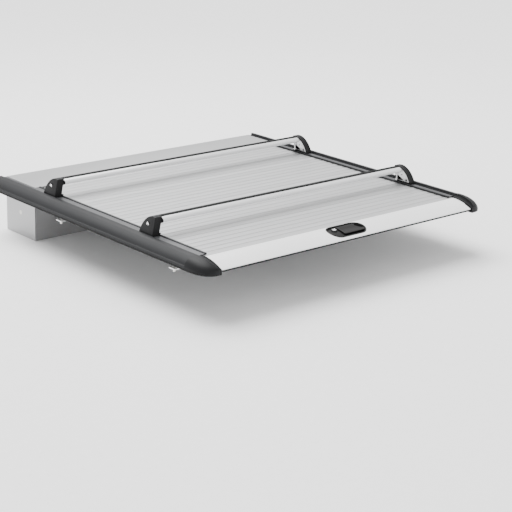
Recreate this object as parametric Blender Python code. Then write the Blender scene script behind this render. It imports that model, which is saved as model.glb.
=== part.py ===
"""Roll-up aluminium tonneau cover with two crossbars, for a mid-size pickup bed.

Frame: metres, +Z up, +Y toward the cab, X across the bed. The origin is on the flat
bulkhead face of the canister, in the middle of the bed, at the height of the bed rails.
Distances called "t" run from the tailgate edge of the cover toward the cab.
"""
from math import cos, pi, sin, sqrt, tau

import bmesh
import bpy
from mathutils import Matrix, Vector
from mathutils.geometry import tessellate_polygon

# ---------------------------------------------------------------- driving dimensions
LENGTH = 1.565            # tailgate edge of the lead slat to the bulkhead face
GAP = 0.0003              # clearance between touching pieces

SLAT_TOP = 0.045          # top of the curtain above the bed rails
SLAT_THICK = 0.0145
SLAT_PITCH = 0.0405
SLAT_COUNT = 30
SLATS_PER_NODE = 3
SLAT_HALF = 0.739         # half length of a slat
SLAT_WALL = 0.0016
SLAT_GROOVE = 0.0020      # depth and width of the groove between two slats

LEAD_DEPTH = 0.111        # lead slat, measured along the bed
LEAD_RADIUS = 0.238       # its top curves down to the tailgate on this radius
LEAD_SKIN = 0.003
LEAD_LOW_HALF = 0.735     # half length where the slat dips below the rail's ledge
LEAD_CORNER = 0.0385      # its ends are cut short from the tailgate edge to here
SEAL_HALF = 0.7290

CHANNEL_WALL = 0.7415     # side wall of the guide channel
LIP_IN = 0.713            # inner edge of the lip over the slat ends
LIP_OUT = 0.722
LIP_TOP = 0.053
LIP_UNDER = 0.0466
LEDGE_IN = 0.7355         # small ledge that carries the slat ends
LEDGE_TOP = 0.0302
LEDGE_LOW = 0.0262
RAIL_FOOT_IN = 0.716
RAIL_FOOT_TOP = 0.004
LEG_OUT = 0.7195          # short leg that hangs down inside the bed
LEG_LOW = -0.020
DECK = 0.0495             # floor between lip and ridge, where the crossbar feet stand
SLOT_MID = 0.759          # T-slot for the crossbar feet
SLOT_HALF = 0.0055
CAVITY_HALF = 0.0095
CAVITY_TOP = 0.0450
CAVITY_LOW = 0.0355
RIDGE_IN = 0.7675
RIDGE_TOP = 0.0575
RAIL_OUT = 0.8275         # widest point of the rail
RAIL_LIP = 0.0085         # lower edge of the outer skin, above the seal

CAP_T = 0.1220            # end cap: from here to CAP_TIP
CAP_TIP = -0.006
CAP_IN = 0.7408
CAP_OUT = 0.8300
CAP_NOTCH = 0.0155

CAN_T = 1.325             # tailgate side of the canister
CAN_LOW = -0.205
CAN_SHEET = 0.003
PLATE_IN = 0.7405         # end plates of the canister
PLATE_OUT = 0.7435
RAIL_CUT = 0.7445         # the rail's guide part ends where the canister starts
RAIL_CUT_T = 1.3205
LID_T = 1.321
LID_LOW = 0.0480
LID_TOP = 0.0512
LID_HALF = 0.7425

DRUM_T = 1.445
DRUM_Z = -0.095
DRUM_R = 0.045
DRUM_WALL = 0.002
DRUM_HALF = 0.735
SHAFT_R = 0.010
COIL_IN = 0.0625
COIL_OUT = 0.0775
COIL_CORE = 0.0490        # inner wall of the hollow slats on the coil
COIL_FACETS = 11

HANDLE_T = 0.0590         # middle of the handle
HANDLE_R = 0.0465         # end radius of the handle's rim
HANDLE_HALF = 0.104       # half length of the rim
RIM_HIGH = 0.0020
BOWL_R = 0.0430
BOWL_WALL = 0.0025
BOWL_LOW = 0.0180
LEVER_X = (-0.030, 0.092)
LEVER_PIN = 0.0835        # right end of the lever's pin
FINGER_SLOT = 0.0160      # opening between the lever's free edge and the pocket wall
LEVER_T = 0.0945          # lever's hinge
LEVER_Z = 0.0385
LEVER_HUB = 0.0042        # the lever's round back edge, about its pin
SHELF_DROP = 0.0055       # the shelf round the lock lies this far under the lead slat's face
LOCK_X = -0.053
LOCK_T = 0.0785
LOCK_TOP = 0.0430

LATCH_REACH = 0.740       # tip of a shot latch rod
ROD_LOW = 0.0065
ROD_TOP = 0.0150
ROD_WIDE = 0.012
LATCH_T = 0.0675          # rocker's pivot
ROCKER_R = 0.016          # pin circle of the rocker that pulls both rods
LUG_IN = 0.7335           # inner face of the lug that a shot rod catches behind

BAR_REAR_T = 0.440
BAR_FRONT_T = 1.155
BAR_HALF = 0.707
BAR_MID_Z = 0.1115
BAR_CHORD = 0.029
BAR_UP = 0.0155
BAR_DOWN = 0.0125
BAR_WALL = 0.0030
STRIP_HALF = 0.0095
STRIP_SEAT = 0.1238
STRIP_TOP = 0.1300

FOOT_LOW = 0.0538         # underside of the foot's cover
FOOT_HIGH = 0.1312
FOOT_IN = 0.7245
FOOT_OUT = 0.7600
FOOT_LEAN = 0.016         # the foot leans in over its height
FOOT_BACK = 0.022
FOOT_NOSE = -0.070
FOOT_WALL = 0.004
COLLAR = 0.0008            # thickness of the foot's collar round the bar's end

CLAMP_T = (0.30, 1.12)
CLAMP_LOW = -0.058
CLAMP_LONG = 0.040
CLAMP_SCREW_U = 0.7350


def y_at(t):
    """World Y of a distance t from the tailgate edge."""
    return t - LENGTH


def lead_top(t):
    """Height of the lead slat's top surface."""
    dip = max(0.0, LEAD_DEPTH - t)
    return SLAT_TOP - dip * dip / (2.0 * LEAD_RADIUS)


# ---------------------------------------------------------------- scene and materials
def clear_scene():
    for item in list(bpy.data.objects):
        bpy.data.objects.remove(item, do_unlink=True)


def make_material(name, color, metallic, roughness):
    mat = bpy.data.materials.new(name)
    mat.use_nodes = True
    mat.diffuse_color = (*color, 1.0)
    bsdf = mat.node_tree.nodes["Principled BSDF"]
    bsdf.inputs["Base Color"].default_value = (*color, 1.0)
    bsdf.inputs["Metallic"].default_value = metallic
    bsdf.inputs["Roughness"].default_value = roughness
    return mat


def make_materials():
    return {
        "slat": make_material("slat_aluminium", (0.62, 0.62, 0.61), 0.85, 0.42),
        "lead": make_material("lead_slat_aluminium", (0.80, 0.80, 0.79), 0.85, 0.34),
        "rail": make_material("rail_powder_coat", (0.045, 0.046, 0.048), 0.2, 0.48),
        "plastic": make_material("black_plastic", (0.030, 0.030, 0.031), 0.0, 0.50),
        "rubber": make_material("black_rubber", (0.020, 0.020, 0.020), 0.0, 0.70),
        "bare": make_material("bare_aluminium", (0.72, 0.72, 0.72), 0.95, 0.35),
        "sheet": make_material("canister_sheet", (0.35, 0.35, 0.35), 0.9, 0.45),
        "steel": make_material("zinc_steel", (0.58, 0.58, 0.56), 1.0, 0.35),
    }


# ---------------------------------------------------------------- mesh helpers
def add_object(name, bm, mat, smooth=None):
    """Turns a bmesh into a named object with outward faces."""
    bmesh.ops.remove_doubles(bm, verts=bm.verts, dist=1e-6)
    bmesh.ops.recalc_face_normals(bm, faces=bm.faces)
    mesh = bpy.data.meshes.new(name)
    bm.to_mesh(mesh)
    bm.free()
    if mat is not None:
        mesh.materials.append(mat)
    if smooth is not None:
        mesh.shade_smooth()
        mesh.set_sharp_from_angle(angle=smooth)
    obj = bpy.data.objects.new(name, mesh)
    bpy.context.collection.objects.link(obj)
    return obj


def prism_bmesh(outline, holes, place, low, high):
    """Extrudes an outline with holes. place(a, b, c) maps it to (x, y, z)."""
    loops = [list(outline)] + [list(hole) for hole in holes]
    flat = [point for loop in loops for point in loop]
    bm = bmesh.new()
    ends = []
    for level in (low, high):
        ends.append([bm.verts.new(place(a, b, level)) for a, b in flat])
    faces = tessellate_polygon([[Vector((a, b, 0.0)) for a, b in loop] for loop in loops])
    for verts in ends:
        for corner in faces:
            bm.faces.new([verts[i] for i in corner])
    start = 0
    for loop in loops:
        count = len(loop)
        for i in range(count):
            j = (i + 1) % count
            bm.faces.new([ends[0][start + i], ends[0][start + j],
                          ends[1][start + j], ends[1][start + i]])
        start += count
    return bm


def prism_x(name, outline, low, high, mat, holes=(), smooth=0.5):
    """Profile of (t, z) points extruded across the bed."""
    bm = prism_bmesh(outline, holes, lambda t, z, x: (x, y_at(t), z), low, high)
    return add_object(name, bm, mat, smooth)


def prism_y(name, outline, low, high, side, mat, holes=(), smooth=0.5):
    """Profile of (u, z) points extruded along the bed, u outward on one side."""
    bm = prism_bmesh(outline, holes, lambda u, z, t: (side * u, y_at(t), z), low, high)
    return add_object(name, bm, mat, smooth)


def prism_z(name, outline, low, high, mat, holes=(), smooth=0.5):
    """Plan of (x, t) points extruded upward."""
    bm = prism_bmesh(outline, holes, lambda x, t, z: (x, y_at(t), z), low, high)
    return add_object(name, bm, mat, smooth)


def box(name, x, t, z, mat=None):
    outline = [(t[0], z[0]), (t[1], z[0]), (t[1], z[1]), (t[0], z[1])]
    return prism_x(name, outline, x[0], x[1], mat, smooth=None)


def circle(a, b, radius, count):
    return [(a + radius * cos(tau * i / count), b + radius * sin(tau * i / count)) for i in range(count)]


def stadium(half_length, radius, mid, count=12):
    """Plan outline (x, t) with round ends, centred on x = 0."""
    points = []
    for side, start in ((1, -pi / 2), (-1, pi / 2)):
        for i in range(count + 1):
            angle = start + pi * i / count
            points.append((side * (half_length - radius) + radius * cos(angle), mid + radius * sin(angle)))
    return points


def lathe(name, profile, origin, axis, mat, count=24):
    """Turns (radius, height) points about an axis through origin; ends on the axis are closed."""
    bm = bmesh.new()
    turn = Vector((0, 0, 1)).rotation_difference(Vector(axis)).to_matrix().to_4x4()
    frame = Matrix.Translation(Vector(origin)) @ turn
    rings = []
    for radius, height in profile:
        if radius == 0.0:
            rings.append([bm.verts.new(frame @ Vector((0, 0, height)))])
            continue
        ring = []
        for i in range(count):
            angle = tau * i / count
            ring.append(bm.verts.new(frame @ Vector((radius * cos(angle), radius * sin(angle), height))))
        rings.append(ring)
    closed = profile[0][0] != 0.0
    pairs = list(zip(rings, rings[1:] + ([rings[0]] if closed else [])))
    if not closed:
        pairs = pairs[:len(rings) - 1]
    for low, high in pairs:
        for i in range(count):
            j = (i + 1) % count
            if len(low) == 1:
                bm.faces.new([low[0], high[j], high[i]])
            elif len(high) == 1:
                bm.faces.new([low[i], low[j], high[0]])
            else:
                bm.faces.new([low[i], low[j], high[j], high[i]])
    return add_object(name, bm, mat, 0.6)


def combine(target, tools, operation):
    """Applies a boolean with each tool, then removes the tool."""
    for tool in tools:
        step = target.modifiers.new(operation.lower(), "BOOLEAN")
        step.operation = operation
        step.solver = "EXACT"
        step.object = tool
        graph = bpy.context.evaluated_depsgraph_get()
        mesh = bpy.data.meshes.new_from_object(target.evaluated_get(graph))
        target.modifiers.clear()
        target.data = mesh
        bpy.data.objects.remove(tool, do_unlink=True)
    bm = bmesh.new()
    bm.from_mesh(target.data)
    bmesh.ops.remove_doubles(bm, verts=bm.verts, dist=1e-6)
    bm.to_mesh(target.data)
    bm.free()
    target.data.shade_smooth()
    target.data.set_sharp_from_angle(angle=0.5)
    return target


def joint_empty(name, location):
    empty = bpy.data.objects.new(name, None)
    empty.location = location
    bpy.context.collection.objects.link(empty)
    return empty


def hang(children, parent):
    """Parents pieces to an empty without moving them."""
    bpy.context.view_layer.update()
    for child in children:
        child.parent = parent
        child.matrix_parent_inverse = parent.matrix_world.inverted()


# ---------------------------------------------------------------- side rails
def rail_skin(count=7):
    """Outer skin of the rail from the ridge down to the lower lip."""
    top = (RIDGE_IN + 0.007, RIDGE_TOP)
    knee = (0.7960, 0.0500)
    side = (0.8245, 0.0220)
    points = []
    for start, bend, end in ((top, (0.7870, 0.0565), knee), (knee, (0.8160, 0.0370), side)):
        for i in range(count if start is top else count + 1):
            s = i / count
            a = (1 - s) ** 2
            b = 2 * s * (1 - s)
            c = s * s
            points.append((a * start[0] + b * bend[0] + c * end[0], a * start[1] + b * bend[1] + c * end[1]))
    return points + [(RAIL_OUT, 0.0150), (RAIL_OUT, RAIL_LIP)]


def rail_outline():
    left, right = SLOT_MID - SLOT_HALF, SLOT_MID + SLOT_HALF
    inner, outer = SLOT_MID - CAVITY_HALF, SLOT_MID + CAVITY_HALF
    guide = [(RAIL_FOOT_IN, LEG_LOW), (LEG_OUT, LEG_LOW), (LEG_OUT, 0.0), (0.8182, 0.0),
             (0.8182, RAIL_LIP)]
    slot = [(RIDGE_IN, DECK), (right, DECK), (right, CAVITY_TOP), (outer, CAVITY_TOP), (outer, CAVITY_LOW),
            (inner, CAVITY_LOW), (inner, CAVITY_TOP), (left, CAVITY_TOP), (left, DECK), (LIP_OUT, DECK)]
    lip = [(LIP_OUT, LIP_TOP - 0.001), (LIP_OUT - 0.001, LIP_TOP), (LIP_IN + 0.002, LIP_TOP),
           (LIP_IN, LIP_TOP - 0.002), (LIP_IN, LIP_UNDER)]
    channel = [(CHANNEL_WALL, LIP_UNDER), (CHANNEL_WALL, LEDGE_TOP), (LEDGE_IN, LEDGE_TOP),
               (LEDGE_IN, LEDGE_LOW), (CHANNEL_WALL, LEDGE_LOW), (CHANNEL_WALL, RAIL_FOOT_TOP),
               (RAIL_FOOT_IN, RAIL_FOOT_TOP)]
    ridge = [(RIDGE_IN + 0.002, RIDGE_TOP), (RIDGE_IN, RIDGE_TOP - 0.002)]
    return guide + list(reversed(rail_skin())) + ridge + slot + lip + channel


def rail_chamber():
    return [(0.7745, 0.0045), (0.8140, 0.0045), (0.8205, 0.0125), (0.8190, 0.0215), (0.7975, 0.0430),
            (0.7760, 0.0500), (0.7725, 0.0480), (0.7725, 0.0270), (0.7545, 0.0270), (0.7545, 0.0045)]


def build_rail(side, label, mats):
    rail = prism_y(f"{label}_rail", rail_outline(), CAP_T + GAP, LENGTH, side, mats["rail"], [rail_chamber()])
    inner, outer = sorted((side * (LIP_IN - 0.01), side * RAIL_CUT))
    cutter = box("cutter", (inner, outer), (RAIL_CUT_T, LENGTH + 0.01), (LEG_LOW - 0.01, LIP_TOP + 0.01))
    combine(rail, [cutter], "DIFFERENCE")
    top = RAIL_LIP - GAP
    seal = [(0.8186, 0.0), (0.8268, 0.0), (0.8274, 0.0030), (0.8268, top), (0.8186, top)]
    prism_y(f"{label}_bed_seal", seal, CAP_T + GAP, LENGTH, side, mats["rubber"])


# ---------------------------------------------------------------- end caps
def cap_section(t):
    """Section of the bullet-shaped end cap at t, as (u, z) points."""
    s = (CAP_T - t) / (CAP_T - CAP_TIP)
    round_off = max(0.0, 1.0 - s ** 2.6) ** (1 / 2.6)
    out = CAP_IN + 0.010 + (CAP_OUT - CAP_IN - 0.010) * round_off
    drop = SLAT_TOP - lead_top(t)
    wide = out - CAP_IN
    top_in = LIP_TOP - 0.001 - drop
    ridge = RIDGE_TOP + 0.001 - 0.88 * drop - 0.006 * s ** 4
    points = [(CAP_IN, 0.0), (out - 0.006, 0.0), (out, 0.006 + 0.004 * s)]
    dome = ((1.0, 0.24), (0.955, 0.42), (0.87, 0.62), (0.74, 0.80), (0.58, 0.93), (0.42, 0.995), (0.33, 1.0))
    for share, high in dome:
        points.append((CAP_IN + wide * share, ridge * high))
    points.append((CAP_IN + 0.26 * wide, ridge - 0.002))
    points.append((CAP_IN + 0.14 * wide, top_in + 0.001))
    points.append((CAP_IN, top_in))
    return points


def build_end_cap(side, label, mats):
    steps = 12
    bm = bmesh.new()
    rings = []
    for i in range(steps + 1):
        s = sin(pi / 2 * i / steps)
        t = CAP_T - (CAP_T - CAP_TIP) * s
        rings.append([bm.verts.new((side * u, y_at(t), z)) for u, z in cap_section(t)])
    count = len(rings[0])
    for low, high in zip(rings, rings[1:]):
        for i in range(count):
            j = (i + 1) % count
            bm.faces.new([low[i], low[j], high[j], high[i]])
    bm.faces.new(rings[0])
    bm.faces.new(rings[-1])
    cap = add_object(f"{label}_end_cap", bm, mats["plastic"], 0.7)
    lug_t = LATCH_T + (ROCKER_R if side < 0 else -ROCKER_R) + ROD_WIDE / 2
    inner, outer = sorted((side * LUG_IN, side * (CAP_IN + 0.004)))
    lug = box("lug", (inner, outer), (lug_t + 0.0006, lug_t + 0.0100), (0.0056, CAP_NOTCH))
    combine(cap, [lug], "UNION")


# ---------------------------------------------------------------- canister and drum
def build_canister(mats):
    back = CAN_T
    outline = [(back, 0.026), (back, CAN_LOW), (LENGTH, CAN_LOW), (LENGTH, LID_LOW - GAP),
               (LENGTH - 0.018, LID_LOW - GAP), (LENGTH - 0.018, LID_LOW - GAP - CAN_SHEET),
               (LENGTH - CAN_SHEET, LID_LOW - GAP - CAN_SHEET), (LENGTH - CAN_SHEET, CAN_LOW + CAN_SHEET),
               (back + CAN_SHEET, CAN_LOW + CAN_SHEET), (back + CAN_SHEET, 0.026)]
    prism_x("canister_housing", outline, -PLATE_IN + GAP, PLATE_IN - GAP, mats["sheet"])
    lid = [(LID_T, 0.0468), (LID_T + 0.0030, 0.0468), (LID_T + 0.0040, LID_LOW), (LENGTH, LID_LOW),
           (LENGTH, LID_TOP - 0.0008), (LENGTH - 0.0008, LID_TOP), (LID_T + 0.0022, LID_TOP),
           (LID_T + 0.0006, LID_TOP - 0.0008), (LID_T, LID_TOP - 0.0022)]
    prism_x("canister_lid", lid, -LID_HALF, LID_HALF, mats["slat"])
    plate = [(back, CAN_LOW), (LENGTH, CAN_LOW), (LENGTH, LID_LOW - GAP), (back, LID_LOW - 0.0035)]
    hole = circle(DRUM_T, DRUM_Z, SHAFT_R + GAP, 24)
    for side, label in ((-1, "left"), (1, "right")):
        low, high = sorted((side * PLATE_IN, side * PLATE_OUT))
        prism_x(f"canister_{label}_plate", plate, low, high, mats["sheet"], [hole])


def build_drum(mats):
    axis = (0.0, y_at(DRUM_T), DRUM_Z)
    prism_x("drum_shaft", circle(DRUM_T, DRUM_Z, SHAFT_R, 24), -0.7440, 0.7440, mats["steel"])
    tube = prism_x("drum_tube", circle(DRUM_T, DRUM_Z, DRUM_R, 36), -DRUM_HALF, DRUM_HALF, mats["bare"],
                   [circle(DRUM_T, DRUM_Z, DRUM_R - DRUM_WALL, 36)])
    pieces = [tube]
    for side, label in ((-1, "left"), (1, "right")):
        low, high = sorted((side * (DRUM_HALF - 0.022), side * (DRUM_HALF - 0.001)))
        pieces.append(prism_x(f"drum_{label}_bearing", circle(DRUM_T, DRUM_Z, DRUM_R - DRUM_WALL - GAP, 36),
                              low, high, mats["plastic"], [circle(DRUM_T, DRUM_Z, SHAFT_R + GAP, 24)]))
    outer = []
    for i in range(COIL_FACETS + 1):
        share = i / COIL_FACETS
        radius = COIL_IN + (COIL_OUT - COIL_IN) * share
        outer.append((DRUM_T + radius * cos(tau * share), DRUM_Z + radius * sin(tau * share)))
    outer[-1] = (outer[-1][0], outer[-1][1] - 0.001)
    chambers = []
    for i in range(COIL_FACETS):
        corners = []
        for share, low in (((i + 0.14) / COIL_FACETS, True), ((i + 0.86) / COIL_FACETS, True),
                           ((i + 0.86) / COIL_FACETS, False), ((i + 0.14) / COIL_FACETS, False)):
            radius = COIL_CORE if low else COIL_IN - 0.0055 + (COIL_OUT - COIL_IN) * share
            corners.append((DRUM_T + radius * cos(tau * share), DRUM_Z + radius * sin(tau * share)))
        chambers.append(corners)
    inner = circle(DRUM_T, DRUM_Z, DRUM_R + 2 * GAP, 36)
    coil_half = SLAT_HALF - 0.001
    pieces.append(prism_x("wound_curtain", outer, -coil_half, coil_half, mats["slat"], [inner] + chambers))
    hang(pieces, joint_empty("drum_axis", axis))
    build_spring(mats)


def build_spring(mats, turns=12, steps=12, radius=0.024, wire=0.0022, start=-0.700, end=-0.470):
    """Counterbalance spring around the shaft, inside the tube."""
    curve = bpy.data.curves.new("drum_spring", "CURVE")
    curve.dimensions = "3D"
    curve.bevel_depth = wire
    curve.bevel_resolution = 1
    curve.use_fill_caps = True
    spline = curve.splines.new("POLY")
    count = turns * steps
    spline.points.add(count)
    for i in range(count + 1):
        angle = tau * i / steps
        x = start + (end - start) * i / count
        spline.points[i].co = (x, y_at(DRUM_T) + radius * cos(angle), DRUM_Z + radius * sin(angle), 1.0)
    curve.materials.append(mats["steel"])
    spring = bpy.data.objects.new("drum_spring", curve)
    bpy.context.collection.objects.link(spring)


# ---------------------------------------------------------------- curtain of slats
def slat_group_profile(first, count, last):
    """Outline and chambers of interlocked slats, as (t, z) points from t = first."""
    top = SLAT_TOP
    low = SLAT_TOP - SLAT_THICK
    mid = (top + low) / 2
    tongue = 0.0022
    reach = 0.0050
    end = first + count * SLAT_PITCH - GAP * 1.5
    upper = []
    holes = []
    for i in range(count):
        a = first + i * SLAT_PITCH
        b = a + SLAT_PITCH if i < count - 1 else end
        if i:
            upper += [(a, top - SLAT_GROOVE), (a + SLAT_GROOVE / 2, top - 0.0006)]
        else:
            upper += [(a, top - 0.0012), (a + SLAT_GROOVE / 2, top - 0.0006)]
        upper += [(a + 0.3 * SLAT_PITCH, top), (a + 0.7 * SLAT_PITCH, top)]
        upper += [(b - SLAT_GROOVE / 2, top - 0.0006)]
        if i == count - 1:
            upper += [(b, top - 0.0012)]
        near = a + (0.0078 if i == 0 else 0.0032)
        far = b - 0.0032
        holes.append([(near, low + SLAT_WALL), (far, low + SLAT_WALL),
                      (far, top - SLAT_WALL - 0.0004), (near, top - SLAT_WALL - 0.0004)])
    lower = []
    if not last:
        lower += [(end, mid + tongue), (end + reach, mid + tongue * 0.8)]
        lower += [(end + reach, mid - tongue * 0.8), (end, mid - tongue)]
    lower += [(end, low)]
    for i in range(count - 1, 0, -1):
        a = first + i * SLAT_PITCH
        lower += [(a + 0.0015, low), (a, low + SLAT_GROOVE), (a - 0.0015, low)]
    deep = reach + 0.0010
    wide = tongue + 0.0006
    lower += [(first, low), (first, mid - wide), (first + deep, mid - wide)]
    lower += [(first + deep, mid + wide), (first, mid + wide)]
    return upper + lower, holes


def build_slats(mats):
    groups = SLAT_COUNT // SLATS_PER_NODE
    for g in range(groups):
        first = LEAD_DEPTH + GAP + g * SLATS_PER_NODE * SLAT_PITCH
        outline, holes = slat_group_profile(first, SLATS_PER_NODE, g == groups - 1)
        low = g * SLATS_PER_NODE + 1
        name = f"slats_{low:02d}_to_{low + SLATS_PER_NODE - 1:02d}"
        prism_x(name, outline, -SLAT_HALF, SLAT_HALF, mats["slat"], holes)


def build_descending_slats(mats):
    """Slats between the flat run and the coil, sloping down under the lid."""
    start = Vector((LEAD_DEPTH + SLAT_COUNT * SLAT_PITCH + 0.0045, 0.0362))
    end = Vector((DRUM_T - 0.0045, DRUM_Z + COIL_OUT + 0.0100))
    along = (end - start).normalized()
    across = Vector((-along.y, along.x))
    length = (end - start).length
    half = SLAT_THICK / 2
    upper = []
    lower = []
    for i in range(4):
        base = start + along * (length * i / 3)
        if i in (0, 3):
            upper.append(base + across * half)
            lower.append(base - across * half)
            continue
        for shift, depth in ((-0.0015, half), (0.0, half - 0.002), (0.0015, half)):
            upper.append(base + along * shift + across * depth)
            lower.append(base + along * shift - across * depth)
    outline = [tuple(p) for p in upper + lower[::-1]]
    wall = half - SLAT_WALL
    chambers = []
    for i in range(3):
        near = start + along * (length * i / 3 + 0.0040)
        far = start + along * (length * (i + 1) / 3 - 0.0040)
        chambers.append([tuple(near + across * wall), tuple(far + across * wall),
                         tuple(far - across * wall), tuple(near - across * wall)])
    prism_x("slats_going_down", outline, -SLAT_HALF, SLAT_HALF, mats["slat"], chambers)


# ---------------------------------------------------------------- lead slat and latch
def lead_profile(steps=14):
    top = [(LEAD_DEPTH * i / steps, lead_top(LEAD_DEPTH * i / steps)) for i in range(steps + 1)]
    low = SLAT_TOP - SLAT_THICK
    mid = SLAT_TOP - SLAT_THICK / 2
    box_t = LEAD_DEPTH - 0.0040
    tip = LEAD_DEPTH + 0.0050
    front = [(LEAD_DEPTH, mid + 0.0022), (tip, mid + 0.0018), (tip, mid - 0.0018),
             (LEAD_DEPTH, mid - 0.0022), (LEAD_DEPTH, low), (box_t, low)]
    under = []
    for i in range(steps):
        t = (box_t - 0.0004) * (1 - i / steps)
        under.append((t, lead_top(t) - LEAD_SKIN))
    return top + front + under + [(0.0, lead_top(0.0) - LEAD_SKIN)]


def build_lead(mats):
    lead = prism_x("lead_slat", lead_profile(), -SLAT_HALF, SLAT_HALF, mats["lead"])
    tools = []
    for side in (-1, 1):
        low, high = sorted((side * LEAD_LOW_HALF, side * (SLAT_HALF + 0.01)))
        tools.append(box("corner", (low, high), (-0.01, LEAD_CORNER), (0.0, 0.0400)))
    tools.append(prism_z("well", stadium(HANDLE_HALF - 0.003, HANDLE_R - 0.003, HANDLE_T), 0.0, 0.06, None))
    combine(lead, tools, "DIFFERENCE")
    edge = lead_top(0.0) - LEAD_SKIN - GAP
    seal = [(0.0005, edge), (0.0005, 0.0095), (0.0025, 0.0080), (0.0065, 0.0080), (0.0080, 0.0100),
            (0.0080, edge)]
    seal_obj = prism_x("tailgate_seal", seal, -SEAL_HALF, SEAL_HALF, mats["rubber"])
    return [lead, seal_obj]


def build_handle(mats):
    """Flush handle: housing let into the lead slat, lever on its pin, and key cylinder."""
    steps = 10
    reach = HANDLE_R + 0.004
    ts = [HANDLE_T - reach + 2 * reach * i / steps for i in range(steps + 1)]
    band = [(t, lead_top(t) + RIM_HIGH) for t in ts] + [(t, lead_top(t) + GAP) for t in reversed(ts)]
    rim = prism_x("handle_housing", band, -HANDLE_HALF - 0.01, HANDLE_HALF + 0.01, mats["plastic"])
    combine(rim, [prism_z("edge", stadium(HANDLE_HALF, HANDLE_R, HANDLE_T), 0.0, 0.08, None)], "INTERSECT")
    shell = stadium(HANDLE_HALF - 0.0035, BOWL_R, HANDLE_T)
    bowl = prism_z("bowl", shell, BOWL_LOW, 0.08, None)
    cap_band = [(ts[0], 0.0), (ts[-1], 0.0)] + [(t, lead_top(t) + RIM_HIGH - 0.0004) for t in reversed(ts)]
    combine(bowl, [prism_x("roof", cap_band, -0.12, 0.12, None)], "INTERSECT")
    combine(rim, [bowl], "UNION")
    pocket = stadium(HANDLE_HALF - 0.0035 - BOWL_WALL, BOWL_R - BOWL_WALL, HANDLE_T)
    well = prism_z("well", pocket, BOWL_LOW + BOWL_WALL, 0.09, None)
    combine(rim, [well], "DIFFERENCE")
    boss = prism_z("boss", circle(LOCK_X, LOCK_T, 0.0150, 20), BOWL_LOW + 0.001, LOCK_TOP - 0.0025, None)
    web = box("web", (LEVER_X[0] - 0.0055, LEVER_X[0] - 0.0010), (LEVER_T - 0.0110, LEVER_T + 0.0060),
              (BOWL_LOW + 0.001, 0.0425))
    ledge = [(ts[0], BOWL_LOW + 0.001), (ts[-1], BOWL_LOW + 0.001)]
    ledge += [(t, lead_top(t) - SHELF_DROP) for t in reversed(ts)]
    shelf = prism_x("shelf", ledge, -HANDLE_HALF, LEVER_X[0] - 0.0062, None)
    seat = stadium(HANDLE_HALF - 0.0030 - BOWL_WALL, BOWL_R - BOWL_WALL + 0.0005, HANDLE_T)
    combine(shelf, [prism_z("seat", seat, 0.0, 0.09, None)], "INTERSECT")
    combine(rim, [boss, web, shelf], "UNION")
    bore = prism_z("bore", circle(LOCK_X, LOCK_T, 0.0103, 20), BOWL_LOW + 0.004, 0.09, None)
    pin_low = LEVER_X[0] - 0.0050
    axle = circle(LEVER_T, LEVER_Z, 0.0023, 10)
    pin_hole = prism_x("pin_hole", axle, pin_low - 0.007, LEVER_PIN + 0.003, None)
    pivot_hole = prism_z("pivot_hole", circle(0.0, LATCH_T, 0.0033, 12), 0.0, 0.03, None)
    combine(rim, [bore, pin_hole, pivot_hole], "DIFFERENCE")
    pin = prism_x("lever_pin", circle(LEVER_T, LEVER_Z, 0.0020, 10), pin_low, LEVER_PIN, mats["steel"])
    lever = build_lever(mats)
    hang([lever], joint_empty("lever_axis", (0.0, y_at(LEVER_T), LEVER_Z)))
    foot = BOWL_LOW + 0.0045
    barrel = [(0.0, foot), (0.0100, foot), (0.0100, LOCK_TOP - 0.0008), (0.0092, LOCK_TOP), (0.0, LOCK_TOP)]
    key = lathe("lock_cylinder", barrel, (LOCK_X, y_at(LOCK_T), 0.0), (0, 0, 1), mats["bare"])
    slot = box("slot", (LOCK_X - 0.0006, LOCK_X + 0.0006), (LOCK_T - 0.0040, LOCK_T + 0.0040),
               (LOCK_TOP - 0.0045, 0.05))
    combine(key, [slot], "DIFFERENCE")
    hang([key], joint_empty("lock_axis", (LOCK_X, y_at(LOCK_T), 0.0)))
    return [rim, pin]


def build_lever(mats):
    """Paddle under the lead slat's curve with a dished face and a hub on its pin."""
    steps = 8
    tail = HANDLE_T - BOWL_R + BOWL_WALL + FINGER_SLOT
    ts = [tail + (LEVER_T - tail) * i / steps for i in range(steps)]
    face = []
    for i, t in enumerate(ts):
        dish = 0.0030 * sin(pi * i / steps)
        face.append((t, lead_top(t) - 0.0012 - dish))
    hub = [pi / 2 - pi * i / steps for i in range(steps + 1)]
    back = [(LEVER_T + LEVER_HUB * cos(angle), LEVER_Z + LEVER_HUB * sin(angle)) for angle in hub]
    back.append((LEVER_T - 0.0060, LEVER_Z - LEVER_HUB))
    back += [(t, lead_top(t) - 0.0084) for t in reversed(ts[2:-2])]
    back += [(t, lead_top(t) - 0.0056) for t in reversed(ts[:2])]
    lever = prism_x("handle_lever", face + back, LEVER_X[0], LEVER_X[1], mats["plastic"])
    square_to = LEVER_X[1] - 0.03
    plan = prism_z("plan", [(-0.2, -0.1), (square_to, -0.1), (square_to, 0.3), (-0.2, 0.3)], 0.0, 0.08, None)
    radius = BOWL_R - BOWL_WALL - 0.0012
    middle = HANDLE_HALF - 0.0035 - BOWL_R
    round_end = []
    for i in range(21):
        angle = pi * (i / 20 - 0.5)
        across = radius - (0.0030 if angle > 0 else 0.0)
        round_end.append((middle + radius * cos(angle), HANDLE_T + across * sin(angle)))
    combine(plan, [prism_z("tip", round_end, 0.0, 0.08, None)], "UNION")
    combine(lever, [plan], "INTERSECT")
    bore = prism_x("bore", circle(LEVER_T, LEVER_Z, 0.0023, 10), -0.2, 0.2, None)
    return combine(lever, [bore], "DIFFERENCE")


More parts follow.
